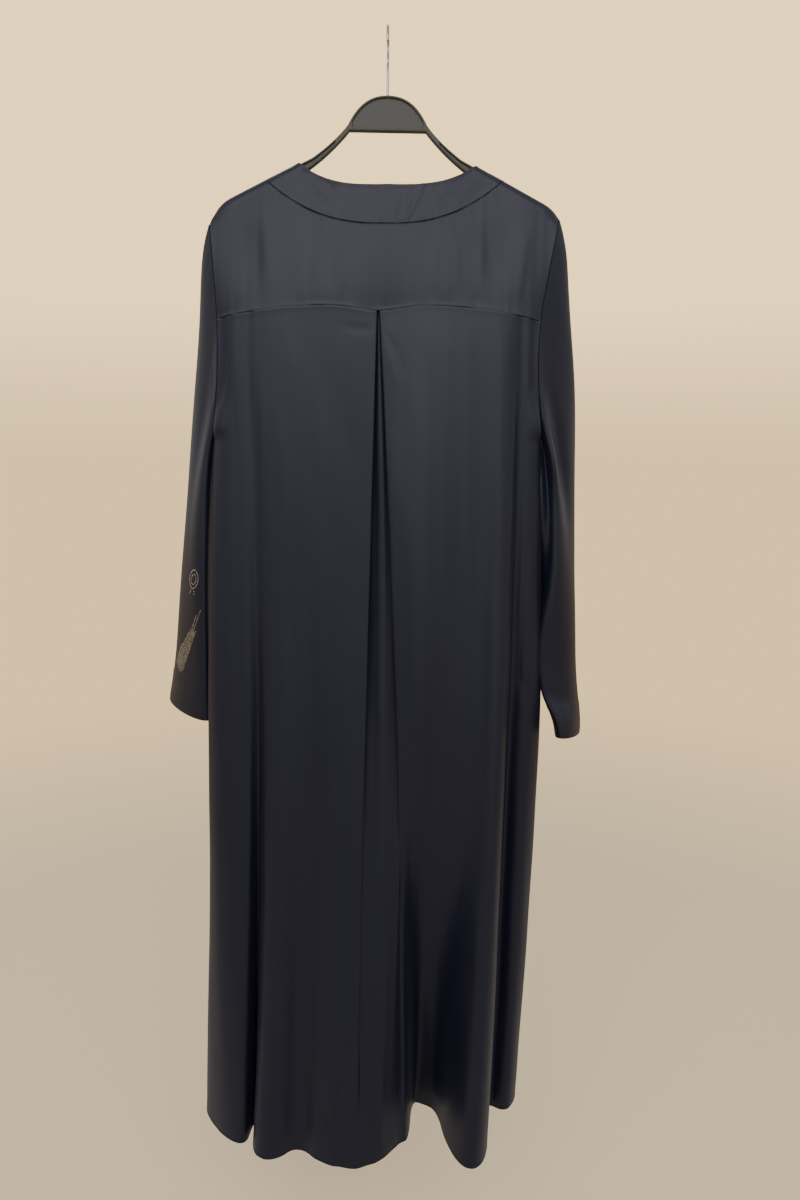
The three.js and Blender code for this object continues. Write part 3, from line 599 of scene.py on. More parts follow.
frontCreases = {
    -1: {
        "bust drag": creaseRow((-66, -330), (-110, -420), (-132, -540), 10, 20, 1.6),
        "long fall": creaseRow((-120, -500), (-136, -800), (-150, -1200), 8, 20, 1.6),
        "low pull": creaseRow((-60, -1180), (-72, -1240), (-76, -1330), 5, 9, 1.4),
        "shoulder fall": creaseRow((-150, -240), (-150, -330), (-148, -450), 8, 16, 1.8),
    },
    1: {
        "bust drag": creaseRow((60, -330), (98, -430), (118, -560), 10, 20, 1.6),
        "long fall": creaseRow((110, -520), (122, -820), (130, -1220), 8, 20, 1.6),
        "low pull": creaseRow((44, -1150), (58, -1220), (62, -1310), 5, 9, 1.4),
        "shoulder fall": creaseRow((142, -240), (140, -330), (136, -450), 8, 16, 1.8),
    },
}
bandDepth = {"seamMid": 54, "seamHem": 76, "edgeMid": 50, "edgeHem": 66}


def frontLevels():
    nearTop = [0, 0.0008, 0.0016, 0.0028, 0.0045, 0.007, 0.011, 0.016, 0.022, 0.029]
    nearHem = [0.989, 0.992, 0.995, 0.997, 0.9985, 1]
    between = np.linspace(0.037, 0.985, frontLook["rows"] - len(nearTop) - len(nearHem))
    return np.concatenate([nearTop, between, nearHem])


def frontDepth(x, z, mid, hem):
    down = np.maximum(downShare(z), 0)
    return through(upperDepth(x, np.maximum(z, heights["yokeLine"])), mid, hem, down)


def frontPanel(side):
    look, c = frontLook, cutSizes
    v = frontLevels()

    def zAt(share):
        top = ridge(c["neckSlide"] + side * lerp(c["bandHalf"], c["shoulderHalf"], share))
        return lerp(top, heights["hem"], v)

    def place(share, yMid, yHem, z):
        x = lerp(bandEdge(side, z) + side * c["seamGap"], edgeX(side, z), share)
        return np.stack([x, frontDepth(x, z, yMid, yHem) + c["seamGap"] / 2, z], -1)

    controls = [place(0, bandDepth["seamMid"], bandDepth["seamHem"], zAt(0))]
    for f in frontFolds[side]:
        z = zAt(f["top"])
        down = np.clip(downShare(z), 0, 1)
        controls.append(place(through(f["top"], f["mid"], f["hem"], down), f["yMid"], f["yHem"], z))
    edge, inward = sideEdge(side, 1, zAt(1))
    controls = np.stack([*controls, inward, edge], 1)
    grid, _ = roundedPath(controls, [1] * controls.shape[1], look["perCorner"], look["perFlank"])
    # the rounding cuts the corners of the shoulder line, so the top is brought back onto it
    short = ridge(grid[0, :, 0]) - grid[0, :, 2]
    grid[..., 2] += short * (1 - v[:, None]) ** 12
    upper = ease((grid[..., 2] - heights["yokeLine"] - 20) / 40)
    grid[..., 1] = lerp(grid[..., 1], upperDepth(grid[..., 0], grid[..., 2]) + c["seamGap"] / 2, upper)
    x, z = grid[..., 0], grid[..., 2]
    inside = ease((ridge(x) - z) / 20)
    relief = creaseRelief(x, z, frontCreases[side]) * inside
    wave = look["waveHigh"] * softNoise(x, z, 60, 420, 61 + side)
    relief += wave * inside * ease((z - heights["hem"]) / 60)
    relief += 0.35 * softNoise(x, z, 18, 90, 65 + side) * inside
    fromBand = np.abs(x - bandEdge(side, z))
    relief += puckers(fromBand, z, 0.25, 16, 8, 71) * inside - 0.6 * bell(fromBand / 3.5) * inside
    relief += hemRelief(x, z)
    grid = grid + gridNormals(grid, flip=side > 0) * relief[..., None]
    return clothPiece("satinFront" + sideName[side], grid, flip=side > 0, extra=hemThickness(z))


def frontBand(side):
    c = cutSizes
    v = frontLevels()[:, None]
    w = np.array([0, 0.02, 0.05, 0.1, 0.2, 0.32, 0.44, 0.56, 0.68, 0.8, 0.9, 0.95, 0.98, 1])[None, :]
    z = lerp(ridge(c["neckSlide"] + side * lerp(c["neckHalf"][side], c["bandHalf"], w)), heights["hem"], v)
    x = lerp(openingEdge(side, z), bandEdge(side, z), w)
    mid = lerp(bandDepth["edgeMid"], bandDepth["seamMid"], w)
    hem = lerp(bandDepth["edgeHem"], bandDepth["seamHem"], w)
    grid = np.stack([x, frontDepth(x, z, mid, hem) + c["seamGap"] / 2, z], -1)
    inside = ease((ridge(x) - z) / 16)
    relief = 0.6 * bell((1 - w) * 50 / 3.5) * inside + 0.4 * softNoise(x, z, 20, 110, 73 + side) * inside
    grid = grid + gridNormals(grid, flip=side > 0) * relief[..., None]
    thick = 0.9 * bell(w * 50 / 4) + 0.4 + 0 * z
    return clothPiece("satinFrontBand" + sideName[side], grid, flip=side > 0, extra=thick)


# the sleeves, from the armhole's loop by a ring at the elbow to one at the cuff
sleeveLook = {"rows": 190, "columns": 100, "hemDeep": 46, "hemThick": 0.9, "waveHigh": 0.9}
sleeveShapes = {
    -1: {
        "elbow": {"x": -271, "y": 43, "z": -640, "long": 53, "short": 16, "turn": 248},
        "cuff": {"x": -292, "y": 44, "z": -907, "long": 60, "short": 18, "turn": 232, "slant": -0.08},
    },
    1: {
        "elbow": {"x": 250, "y": 33, "z": -650, "long": 47, "short": 14, "turn": -68},
        "cuff": {"x": 264, "y": 36, "z": -940, "long": 53, "short": 14, "turn": -72, "slant": 0.15},
    },
}
sleevePushes = {
    -1: {
        "upper fullness": dict(share=0.24, before=0.14, after=0.2, at=20, around=50, x=-5, y=0),
        "upper hollow": dict(share=0.2, before=0.16, after=0.3, at=110, around=24, x=0, y=6),
        "forearm hollow": dict(share=0.76, before=0.2, after=0.16, at=10, around=50, x=5, y=0),
        "front fold": dict(share=0.5, before=0.3, after=0.3, at=300, around=16, x=0, y=4),
        "front groove": dict(share=0.45, before=0.3, after=0.3, at=275, around=12, x=0, y=-5),
    },
    1: {
        "upper fullness": dict(share=0.24, before=0.15, after=0.2, at=20, around=60, x=10, y=0),
        "upper fold": dict(share=0.2, before=0.14, after=0.12, at=150, around=26, x=2, y=-7),
        "groove": dict(share=0.28, before=0.2, after=0.16, at=108, around=20, x=0, y=10),
        "inner wall": dict(share=0.5, before=0.26, after=0.3, at=262, around=34, x=-24, y=0),
        "inner ridge": dict(share=0.36, before=0.2, after=0.16, at=232, around=17, x=-5, y=-22),
        "inner wall, low": dict(share=0.8, before=0.16, after=0.11, at=225, around=50, x=-15, y=0),
        "forearm hollow": dict(share=0.78, before=0.2, after=0.16, at=10, around=60, x=-8, y=0),
        "forearm bulge": dict(share=0.9, before=0.2, after=0.055, at=180, around=48, x=-18, y=8),
        "cuff flare": dict(share=1.0, before=0.12, after=0.1, at=30, around=200, x=9, y=0),
    },
}
sleeveCreases = {
    -1: {
        "long fall": creaseRow((-243, -270), (-250, -430), (-262, -640), 4, 9, 1.6),
        "inner fall": creaseRow((-238, -330), (-240, -440), (-246, -560), 3, 6, -1.2),
        "elbow pull one": creaseRow((-282, -560), (-268, -580), (-252, -610), 4, 8, 1.2),
        "elbow pull two": creaseRow((-284, -620), (-270, -645), (-254, -660), 4, 8, -1.2),
        "cuff soft fold": creaseRow((-262, -800), (-262, -850), (-268, -905), 6, 10, 2.0),
    },
    1: {
        "inner ridge": creaseRow((214, -372), (219, -480), (226, -596), 5, 9, 2.6),
        "ridge end fold": creaseRow((218, -560), (226, -590), (236, -612), 4, 7, 1.8),
        "dark groove": creaseRow((224, -345), (232, -470), (232, -612), 4, 6, -2.4),
        "fold edge": creaseRow((236, -466), (233, -640), (216, -800), 3, 10, 2.2),
        "outer fall": creaseRow((250, -280), (256, -430), (258, -640), 5, 12, 1.2),
        "cuff pull one": creaseRow((240, -890), (232, -900), (226, -914), 3, 5, 1.6),
        "cuff pull two": creaseRow((246, -860), (240, -880), (234, -900), 3, 5, 1.2),
    },
}


def sleeve(side):
    look, c = sleeveLook, cutSizes
    t = (np.linspace(0, 1, look["rows"]) ** 1.25)[:, None]
    angle = (np.arange(look["columns"]) / look["columns"] * 2 * np.pi)[None, :]
    top = ridge(shoulderTip[side]) - 0.3
    zHole = lerp(top, heights["underarm"], (1 - np.cos(angle)) / 2)
    xHole = edgeX(side, zHole) + side * c["sleeveGap"]
    yHole = -np.sign(np.sin(angle)) * armDepth(zHole)
    hole = np.stack([xHole, yHole, zHole], -1)

    def tubeRing(s):
        turn = math.radians(s["turn"])
        along = np.array([math.cos(turn), -math.sin(turn), -s.get("slant", 0)]) * s["long"]
        across = np.array([-math.sin(turn), -math.cos(turn), 0]) * side * s["short"]
        centre = np.array([s["x"], s["y"], s["z"]])
        return centre + along * np.cos(angle)[..., None] + across * np.sin(angle)[..., None]

    elbow, cuff = (tubeRing(sleeveShapes[side][k]) for k in ("elbow", "cuff"))
    tt = t[..., None]
    grid = hole * (1 - tt) * (1 - 2 * tt) + elbow * 4 * tt * (1 - tt) + cuff * tt * (2 * tt - 1)
    grid[..., 0] += side * 6 * (t / 0.05) * np.exp(1 - t / 0.05) * np.maximum(0, np.cos(angle))
    degrees = np.degrees(angle)
    for p in sleevePushes[side].values():
        down = (t - p["share"]) / np.where(t < p["share"], p["before"], p["after"])
        around = (((degrees - p["at"] + 540) % 360) - 180) / p["around"]
        strength = np.exp(-down * down - around * around) * ease(t / 0.05)
        grid[..., 0] += p["x"] * strength
        grid[..., 1] += p["y"] * strength
    normals = gridNormals(grid, tube=True, flip=side > 0)
    x, z = grid[..., 0], grid[..., 2]
    behind = ease((-normals[..., 1] + 0.1) / 0.5)
    toHem = np.linalg.norm(grid - grid[-1:], axis=-1)
    along = degrees / 360 * 240 + 0 * t
    relief = creaseRelief(x, z, sleeveCreases[side]) * behind * ease(t / 0.06)
    relief += look["waveHigh"] * softNoise(along, z, 34, 160, 81 + side) * ease(t / 0.1) * ease(toHem / 30)
    relief += puckers(t * 700, along, 0.5, 15, 16, 83) * ease(t / 0.012)
    line = toHem - look["hemDeep"]
    relief += -0.8 * bell(line / 1.6) + puckers(np.abs(line), along, 0.3, 9, 9, 85)
    relief += 0.5 * bell(toHem / 4)
    grid = grid + normals * relief[..., None]
    thick = look["hemThick"] * ease(-line / 2)
    return clothPiece("satinSleeve" + sideName[side], grid, tube=True, flip=side > 0, extra=thick)


backBody()
backYoke()
backNeckband()
for side in (-1, 1):
    frontPanel(side)
for side in (-1, 1):
    frontBand(side)
sleevePieces = {side: sleeve(side) for side in (-1, 1)}
print("cloth:", sum(len(p.data.polygons) for p in satinPieces), "faces in", len(satinPieces), "pieces")


# the hanger: a flat body with hollows between its rims, and a wire hook
hangerSizes = {
    "armEnd": 194, "armTall": 13, "domeTop": -79.5, "domeFoot": -123, "domeHalf": 51, "clear": 2.5,
    "thick": 9, "bevel": 2.2, "rim": 3, "recess": 2.6, "curveSteps": 18,
}
hookSizes = {"wire": 3.2, "inner": 18, "bendDrop": 22, "bendReach": 11, "sides": 20}


def bezier(points, steps):
    t = np.linspace(0, 1, steps + 1)[:, None]
    p = [np.array(q, float) for q in points]
    if len(p) == 3:
        return (1 - t) ** 2 * p[0] + 2 * t * (1 - t) * p[1] + t ** 2 * p[2]
    return (1 - t) ** 3 * p[0] + 3 * t * (1 - t) ** 2 * p[1] + 3 * t ** 2 * (1 - t) * p[2] + t ** 3 * p[3]


# the hanger's outline, from the dome's top round the arm and back, moved inwards by inset
def hangerOutline(inset):
    s = hangerSizes
    half, dTop, dFoot, tall, end = s["domeHalf"], s["domeTop"], s["domeFoot"], s["armTall"], s["armEnd"]
    tip = end - inset
    n = s["curveSteps"]

    def top(x):
        return cutSizes["ridge"] - s["clear"] - cutSizes["slope"] * x

    parts = [
        bezier([(0, dTop - inset), (22, dTop - inset), (38 - inset, dTop - 10 - inset),
                (half - inset, dFoot + 8)], n),
        bezier([(half - inset, dFoot + 8), (67, -135 - inset), (96, top(96) - inset)], n),
        bezier([(end - 6 - inset, top(end - 6) - inset), (tip, top(end) - inset),
                (tip, top(end) - tall / 2)], 8),
        bezier([(tip, top(end) - tall / 2), (tip, top(end) - tall + inset),
                (end - 8, top(end - 8) - tall + inset)], 8),
        bezier([(102, top(102) - tall + inset), (72, -150 + inset), (half - 2, dFoot + inset)], n),
    ]
    side = np.concatenate([parts[0], parts[1][1:], parts[2], parts[3][1:], parts[4]])
    left = side[1:][::-1] * [-1, 1]
    return np.concatenate([side, left])


def meshPiece(name, points, faces):
    mesh = bpy.data.meshes.new(name)
    mesh.from_pydata([tuple(p) for p in np.asarray(points) / 1000], [], faces)
    mesh.polygons.foreach_set("use_smooth", np.ones(len(mesh.polygons), bool))
    mesh.set_sharp_from_angle(angle=math.radians(40))
    mesh.update()
    piece = bpy.data.objects.new(name, mesh)
    bpy.context.scene.collection.objects.link(piece)
    return piece


# closes a stack of rings into one solid
def loftRings(name, rings):
    count, last = len(rings[0]), len(rings) - 1
    faces = []
    for r in range(last):
        for k in range(count):
            k1 = (k + 1) % count
            faces.append([r * count + k, r * count + k1, (r + 1) * count + k1, (r + 1) * count + k])
    faces.append(list(range(count))[::-1])
    faces.append([last * count + k for k in range(count)])
    return meshPiece(name, np.concatenate(rings), faces)


def ringAt(line, y):
    line = np.asarray(line, float)
    return np.stack([line[:, 0], np.full(len(line), y), line[:, 1]], -1)


def hangerBody():
    s = hangerSizes
    half = s["thick"] / 2
    profile = []
    for a in np.linspace(0, math.pi / 2, 7):
        profile.append((s["bevel"] * (1 - math.sin(a)), -half + s["bevel"] * (1 - math.cos(a))))
    profile += [(inset, -y) for inset, y in profile[::-1]]
    body = loftRings("plasticHanger", [ringAt(hangerOutline(inset), y) for inset, y in profile])
    # the hollows between the rims: one in the dome and one along each arm, on both faces
    line = hangerOutline(s["rim"])
    dome = [p for p in line if p[1] > s["domeFoot"] + 8.5]
    xFoot, zFoot = s["domeHalf"] - 6, s["domeFoot"] + 3
    right = [p for p in dome if p[0] >= 0] + [(xFoot, zFoot), (-xFoot, zFoot)]
    hollows = [right + [p for p in dome if p[0] < 0]]
    for side in (1, -1):
        hollows.append([p for p in line if p[0] * side > 66])
    cutters = []
    for hollow in hollows:
        for low, high in ((-half - 2, -half + s["recess"]), (half - s["recess"], half + 2)):
            cutters.append(loftRings("hollowCutter", [ringAt(hollow, low), ringAt(hollow, high)]))
    for cutter in cutters:
        cut = body.modifiers.new("hollow", "BOOLEAN")
        cut.operation = "DIFFERENCE"
        cut.solver = "EXACT"
        cut.object = cutter
    soften = body.modifiers.new("softEdges", "BEVEL")
    soften.width = 0.0004
    soften.segments = 2
    soften.limit_method = "ANGLE"
    soften.angle_limit = math.radians(50)
    mesh = bpy.data.meshes.new_from_object(body.evaluated_get(bpy.context.evaluated_depsgraph_get()))
    body.modifiers.clear()
    body.data = mesh
    for cutter in cutters:
        bpy.data.objects.remove(cutter)
    points = np.zeros(len(mesh.vertices) * 3)
    mesh.vertices.foreach_get("co", points)
    points = points.reshape(-1, 3)
    # the whole body leans as the shoulders do
    x, z = points[:, 0].copy(), points[:, 2] - s["domeFoot"] / 1000
    cos, sin = math.cos(cutSizes["lean"]), math.sin(cutSizes["lean"])
    points[:, 0] = x * cos + z * sin
    points[:, 2] = -x * sin + z * cos + s["domeFoot"] / 1000
    mesh.vertices.foreach_set("co", points.ravel())
    mesh.update()
    return body


def hookWire():
    s = hookSizes
    radius = s["inner"] + s["wire"] / 2
    angles = np.radians(np.linspace(190, -48, 60))
    arc = np.stack([np.zeros(60), radius * np.cos(angles), -s["inner"] + radius * np.sin(angles)], -1)
    last = arc[-1]
    straight = (0, 0, last[2] - s["bendDrop"])
    turning = (0, 0, last[2] - s["bendDrop"] * 0.45)
    bend = bezier([last, last + [0, -s["bendReach"], -9], turning, straight], 24)[1:]
    foot = hangerSizes["domeTop"] - 1.0
    stem = np.stack([np.zeros(8), np.zeros(8), np.linspace(bend[-1][2], foot, 9)[1:]], -1)
    path = np.concatenate([arc, bend, stem])
    tangent = unit(np.gradient(path, axis=0))
    sideways = np.array([1.0, 0, 0])
    normal = np.cross(sideways, tangent)
    ring = np.arange(s["sides"]) / s["sides"] * 2 * np.pi
    stations = []
    for k in (0.25, 0.6, 0.85, 0.97):  # a rounded tip
        stations.append((path[0] - tangent[0] * s["wire"] / 2 * (1 - k), math.sqrt(1 - (1 - k) ** 2), 0))
    for k in range(len(path)):
        stations.append((path[k], 1, k))
    rings = []
    for at, scale, k in stations:
        r = s["wire"] / 2 * scale
        rings.append(at + r * (np.cos(ring)[:, None] * sideways + np.sin(ring)[:, None] * normal[k]))
    return loftRings("steelHook", rings)


hangerPiece = hangerBody()
hookPiece = hookWire()
print("hanger and hook built")


# Sets a node's inputs by name or number. One that is given another node's output is linked to it.
def feed(tree, node, inputs):
    for key, value in inputs.items():
        if isinstance(value, bpy.types.NodeSocket):
            tree.links.new(value, node.inputs[key])
        else:
            node.inputs[key].default_value = value


def addNode(tree, kind, inputs=None, **settings):
    node = tree.nodes.new(kind)
    node.location.x = 200 * len(tree.nodes) - 2400
    for key, value in settings.items():
        setattr(node, key, value)
    feed(tree, node, inputs or {})
    return node


def newMaterial(name):
    material = bpy.data.materials.new(name)
    material.use_nodes = True
    tree = material.node_tree
    return material, tree, tree.nodes["Principled BSDF"]


def objectPlace(tree):
    return addNode(tree, "ShaderNodeTexCoord").outputs["Object"]


def stretched(tree, where, scale):
    return addNode(tree, "ShaderNodeMapping", {"Vector": where, "Scale": scale}).outputs["Vector"]


def noiseOf(tree, where, scale, detail, rough=0.5):
    inputs = {"Vector": where, "Scale": scale, "Detail": detail, "Roughness": rough}
    return addNode(tree, "ShaderNodeTexNoise", inputs).outputs["Fac"]


def mixOf(tree, share, first, second):
    inputs = {"Fac": share, "Color1": first, "Color2": second}
    return addNode(tree, "ShaderNodeMixRGB", inputs).outputs["Color"]


def rangeOf(tree, value, low, high):
    inputs = {"Value": value, "To Min": low, "To Max": high}
    return addNode(tree, "ShaderNodeMapRange", inputs).outputs["Result"]


def bumpOf(tree, height, strength, distance):
    inputs = {"Height": height, "Strength": strength, "Distance": distance}
    return addNode(tree, "ShaderNodeBump", inputs)


satinFinish = {
    "navy": (0.0072, 0.0084, 0.0235, 1), "worn": (0.0092, 0.0104, 0.0262, 1),
    "rough": 0.43, "roughSpread": 0.05,
    "specular": 0.42, "specularTint": (0.94, 0.955, 1, 1), "sheen": 0.06, "sheenTint": (0.55, 0.57, 0.75, 1),
    "sheenRough": 0.35, "weaveBump": 0.04, "rippleBump": 0.07,
}


def satinMaterial():
    look = satinFinish
    rough, spread = look["rough"], look["roughSpread"]
    material, tree, shader = newMaterial("navySatin")
    cut = addNode(tree, "ShaderNodeUVMap", uv_map="cut").outputs["UV"]
    lengthwise = stretched(tree, cut, (1, 0.28, 1))
    tone = noiseOf(tree, lengthwise, 14.0, 3.0)
    # a fine twill of floating yarns, with soft ripples between them
    weave = {"Vector": cut, "Scale": 520.0, "Distortion": 1.2, "Detail": 2.0}
    twill = addNode(tree, "ShaderNodeTexWave", weave, wave_type="BANDS", bands_direction="DIAGONAL")
    fine = bumpOf(tree, twill.outputs["Color"], look["weaveBump"], 0.0002)
    soft = bumpOf(tree, noiseOf(tree, lengthwise, 55.0, 4.0, 0.55), look["rippleBump"], 0.0012)
    feed(tree, soft, {"Normal": fine.outputs["Normal"]})
    feed(tree, shader, {
        "Base Color": mixOf(tree, tone, look["navy"], look["worn"]),
        "Roughness": rangeOf(tree, tone, rough - spread, rough + spread),
        "Normal": soft.outputs["Normal"],
        "Specular IOR Level": look["specular"],
        "Specular Tint": look["specularTint"],
        "Sheen Weight": look["sheen"],
        "Sheen Roughness": look["sheenRough"],
        "Sheen Tint": look["sheenTint"],
    })
    return material


plasticFinish = {
    "base": (0.034, 0.034, 0.028, 1), "scuffed": (0.05, 0.05, 0.042, 1), "smooth": 0.36, "rough": 0.52,
}


def plasticMaterial():
    look = plasticFinish
    material, tree, shader = newMaterial("mattOlivePlastic")
    where = objectPlace(tree)
    grain = noiseOf(tree, where, 1500.0, 2.0)
    cloud = noiseOf(tree, where, 24.0, 5.0, 0.6)
    edge = addNode(tree, "ShaderNodeValToRGB", {"Fac": cloud})
    edge.color_ramp.elements[0].position = 0.42
    edge.color_ramp.elements[1].position = 0.72
    feed(tree, shader, {
        "Base Color": mixOf(tree, edge.outputs["Color"], look["base"], look["scuffed"]),
        "Roughness": rangeOf(tree, cloud, look["smooth"], look["rough"]),
        "Normal": bumpOf(tree, grain, 0.18, 0.0003).outputs["Normal"],
    })
    return material


def steelMaterial():
    material, tree, shader = newMaterial("drawnSteel")
    lines = noiseOf(tree, stretched(tree, objectPlace(tree), (900, 900, 60)), 1.0, 3.0)
    feed(tree, shader, {
        "Base Color": (0.42, 0.42, 0.43, 1),
        "Metallic": 1.0,
        "Roughness": rangeOf(tree, lines, 0.22, 0.42),
        "Normal": bumpOf(tree, lines, 0.15, 0.0001).outputs["Normal"],
    })
    return material


# thread or beads: small grains of two colours
def grainMaterial(name, dark, pale, scale, detail, rough, metal):
    material, tree, shader = newMaterial(name)
    colour = mixOf(tree, noiseOf(tree, objectPlace(tree), scale, detail), dark, pale)
    feed(tree, shader, {"Base Color": colour, "Roughness": rough, "Metallic": metal})
    return material


satin, plastic, steel = satinMaterial(), plasticMaterial(), steelMaterial()
darkNavy, paleNavy = (0.012, 0.014, 0.034, 1), (0.03, 0.034, 0.07, 1)
deepGold, paleGold = (0.36, 0.27, 0.16, 1), (0.85, 0.76, 0.6, 1)
thread = grainMaterial("navyThread", darkNavy, paleNavy, 2600.0, 2.0, 0.5, 0.0)
goldBeads = grainMaterial("paleGoldBeads", deepGold, paleGold, 420.0, 1.0, 0.28, 0.35)
for piece in satinPieces:
    piece.data.materials.append(satin)
hangerPiece.data.materials.append(plastic)
hookPiece.data.materials.append(steel)
print("finishes made")

# stitches and beads are small grains laid along lines on the cloth; their sizes are in metres
stitchSizes = {"Spacing": 0.0036, "Long": 0.0024, "Thick": 0.00045, "Lift": 0.0001, "Seed": 3}
beadSizes = {
    "sheaf": {"Spacing": 0.0019, "Long": 0.0013, "Thick": 0.001, "Lift": 0.0004, "Seed": 7},
    "leaf": {"Spacing": 0.0025, "Long": 0.0015, "Thick": 0.0014, "Lift": 0.0004, "Seed": 9},
}


# a tree that lays one rounded grain after another along each line, turned with the line and the cloth
def grainTree(name, material, spread):
    tree = bpy.data.node_groups.new(name, "GeometryNodeTree")
    face = tree.interface
    face.new_socket("Geometry", in_out="INPUT", socket_type="NodeSocketGeometry")
    for label, value in (("Spacing", 0.003), ("Long", 0.002), ("Thick", 0.001), ("Lift", 0.0)):
        face.new_socket(label, in_out="INPUT", socket_type="NodeSocketFloat").default_value = value
    face.new_socket("Seed", in_out="INPUT", socket_type="NodeSocketInt").default_value = 1
    face.new_socket("Geometry", in_out="OUTPUT", socket_type="NodeSocketGeometry")
    given = addNode(tree, "NodeGroupInput").outputs
    curve = addNode(tree, "GeometryNodeMeshToCurve", {"Mesh": given["Geometry"]}).outputs["Curve"]
    points = addNode(tree, "GeometryNodeCurveToPoints", mode="LENGTH")
    feed(tree, points, {"Curve": curve, "Length": given["Spacing"]})
    facing = addNode(tree, "GeometryNodeInputNamedAttribute", {"Name": "facing"}, data_type="FLOAT_VECTOR")
    outward = facing.outputs["Attribute"]
    alongLine = addNode(tree, "FunctionNodeAlignRotationToVector", axis="X")
    feed(tree, alongLine, {"Vector": points.outputs["Tangent"]})
    onCloth = addNode(tree, "FunctionNodeAlignRotationToVector", axis="Z", pivot_axis="X")
    feed(tree, onCloth, {"Rotation": alongLine.outputs["Rotation"], "Vector": outward})
    lift = addNode(tree, "ShaderNodeVectorMath", operation="SCALE")
    feed(tree, lift, {0: outward, "Scale": given["Lift"]})
    raised = addNode(tree, "GeometryNodeSetPosition")
    feed(tree, raised, {"Geometry": points.outputs["Points"], "Offset": lift.outputs["Vector"]})
    grain = addNode(tree, "GeometryNodeMeshUVSphere", {"Segments": 7, "Rings": 5, "Radius": 0.5})
    size = addNode(tree, "ShaderNodeCombineXYZ")
    feed(tree, size, {"X": given["Long"], "Y": given["Thick"], "Z": given["Thick"]})
    vary = addNode(tree, "FunctionNodeRandomValue", data_type="FLOAT")
    feed(tree, vary, {2: 1 - spread, 3: 1 + spread, "Seed": given["Seed"]})
    scaled = addNode(tree, "ShaderNodeVectorMath", operation="SCALE")
    feed(tree, scaled, {0: size.outputs["Vector"], "Scale": vary.outputs[1]})
    laid = addNode(tree, "GeometryNodeInstanceOnPoints", {
        "Points": raised.outputs["Geometry"], "Instance": grain.outputs["Mesh"],
        "Rotation": onCloth.outputs["Rotation"], "Scale": scaled.outputs["Vector"],
    })
    real = addNode(tree, "GeometryNodeRealizeInstances", {"Geometry": laid.outputs["Instances"]})
    smooth = addNode(tree, "GeometryNodeSetShadeSmooth", {"Geometry": real.outputs["Geometry"]})
    finish = addNode(tree, "GeometryNodeSetMaterial")
    feed(tree, finish, {"Geometry": smooth.outputs["Geometry"], "Material": material})
    addNode(tree, "NodeGroupOutput", {"Geometry": finish.outputs["Geometry"]})
    return tree


# lays grains along lines of (points, facings), in millimetres, as one plain mesh
def grainPiece(name, lines, tree, sizes):
    points, facings, edges = [], [], []
    for line, facing in lines:
        base = len(points)
        points += [tuple(p / 1000) for p in line]
        facings += [tuple(f) for f in facing]
        edges += [(base + k, base + k + 1) for k in range(len(line) - 1)]
    mesh = bpy.data.meshes.new(name + "Lines")
    mesh.from_pydata(points, edges, [])
    outward = mesh.attributes.new("facing", "FLOAT_VECTOR", "POINT")
    outward.data.foreach_set("vector", np.array(facings).ravel())
    carrier = bpy.data.objects.new(name + "Lines", mesh)
    bpy.context.scene.collection.objects.link(carrier)
    modifier = carrier.modifiers.new("grains", "NODES")
    modifier.node_group = tree
    for item in tree.interface.items_tree:
        if item.in_out == "INPUT" and item.name in sizes:
            modifier[item.identifier] = sizes[item.name]
    evaluated = carrier.evaluated_get(bpy.context.evaluated_depsgraph_get())
    plain = bpy.data.meshes.new_from_object(evaluated)
    bpy.data.objects.remove(carrier)
    piece = bpy.data.objects.new(name, plain)
    bpy.context.scene.collection.objects.link(piece)
    return piece


def rowLine(name, row):
    outer, normals = gridOf[name]
    return outer[row], normals[row]


def columnLine(name, column):
    outer, normals = gridOf[name]
    return outer[:, column], normals[:, column]


def rowAtHeight(name, aboveHem):
    outer, _ = gridOf[name]
    middle = outer[:, outer.shape[1] // 2]
    away = np.linalg.norm(middle - middle[-1], axis=1)
    return int(np.argmin(np.abs(away - aboveHem)))


stitchTree = grainTree("stitches along a line", thread, 0.06)
beadTree = grainTree("beads along a line", goldBeads, 0.16)
stitchPieces = {}


def stitch(name, lines):
    stitchPieces[name] = grainPiece(name.replace("satin", "stitches"), lines, stitchTree, stitchSizes)


stitch("satinBackBody", [rowLine("satinBackBody", rowAtHeight("satinBackBody", 13))])
for name in ("satinFrontLeft", "satinFrontRight"):
    stitch(name, [rowLine(name, rowAtHeight(name, 13))])
for name in ("satinFrontBandLeft", "satinFrontBandRight"):
    stitch(name, [rowLine(name, rowAtHeight(name, 13)), columnLine(name, 3), columnLine(name, 11)])
for name in ("satinSleeveLeft", "satinSleeveRight"):
    line, facing = rowLine(name, rowAtHeight(name, sleeveLook["hemDeep"] - 2.5))
    stitch(name, [(np.concatenate([line, line[:1]]), np.concatenate([facing, facing[:1]]))])
stitch("satinBackNeckband", [rowLine("satinBackNeckband", 3)])
print("stitches laid:", sum(len(p.data.polygons) for p in stitchPieces.values()), "faces")


# the bead embroidery on the forearms: a leaf, a slanted sheaf of rows and a line at each outer edge
leafSizes = {"x": -270, "z": -707, "wide": 15, "tall": 28, "lean": 12, "innerRing": 0.55, "foot": -17}
sheafSizes = {
    "footX": -305, "footZ": -848, "topX": -264, "topZ": -750, "spread": 1.9,
    "feet": [0.11, 0.09, 0.07, 0.05, 0.03, 0.01, 0, 0, 0.01, 0.03],
    "tops": [0.4, 0.46, 0.52, 0.62, 0.68, 0.92, 0.7, 1.0, 0.66, 0.68],
}
edgeBeads = {-1: (-655, -692), 1: (-740, -792)}


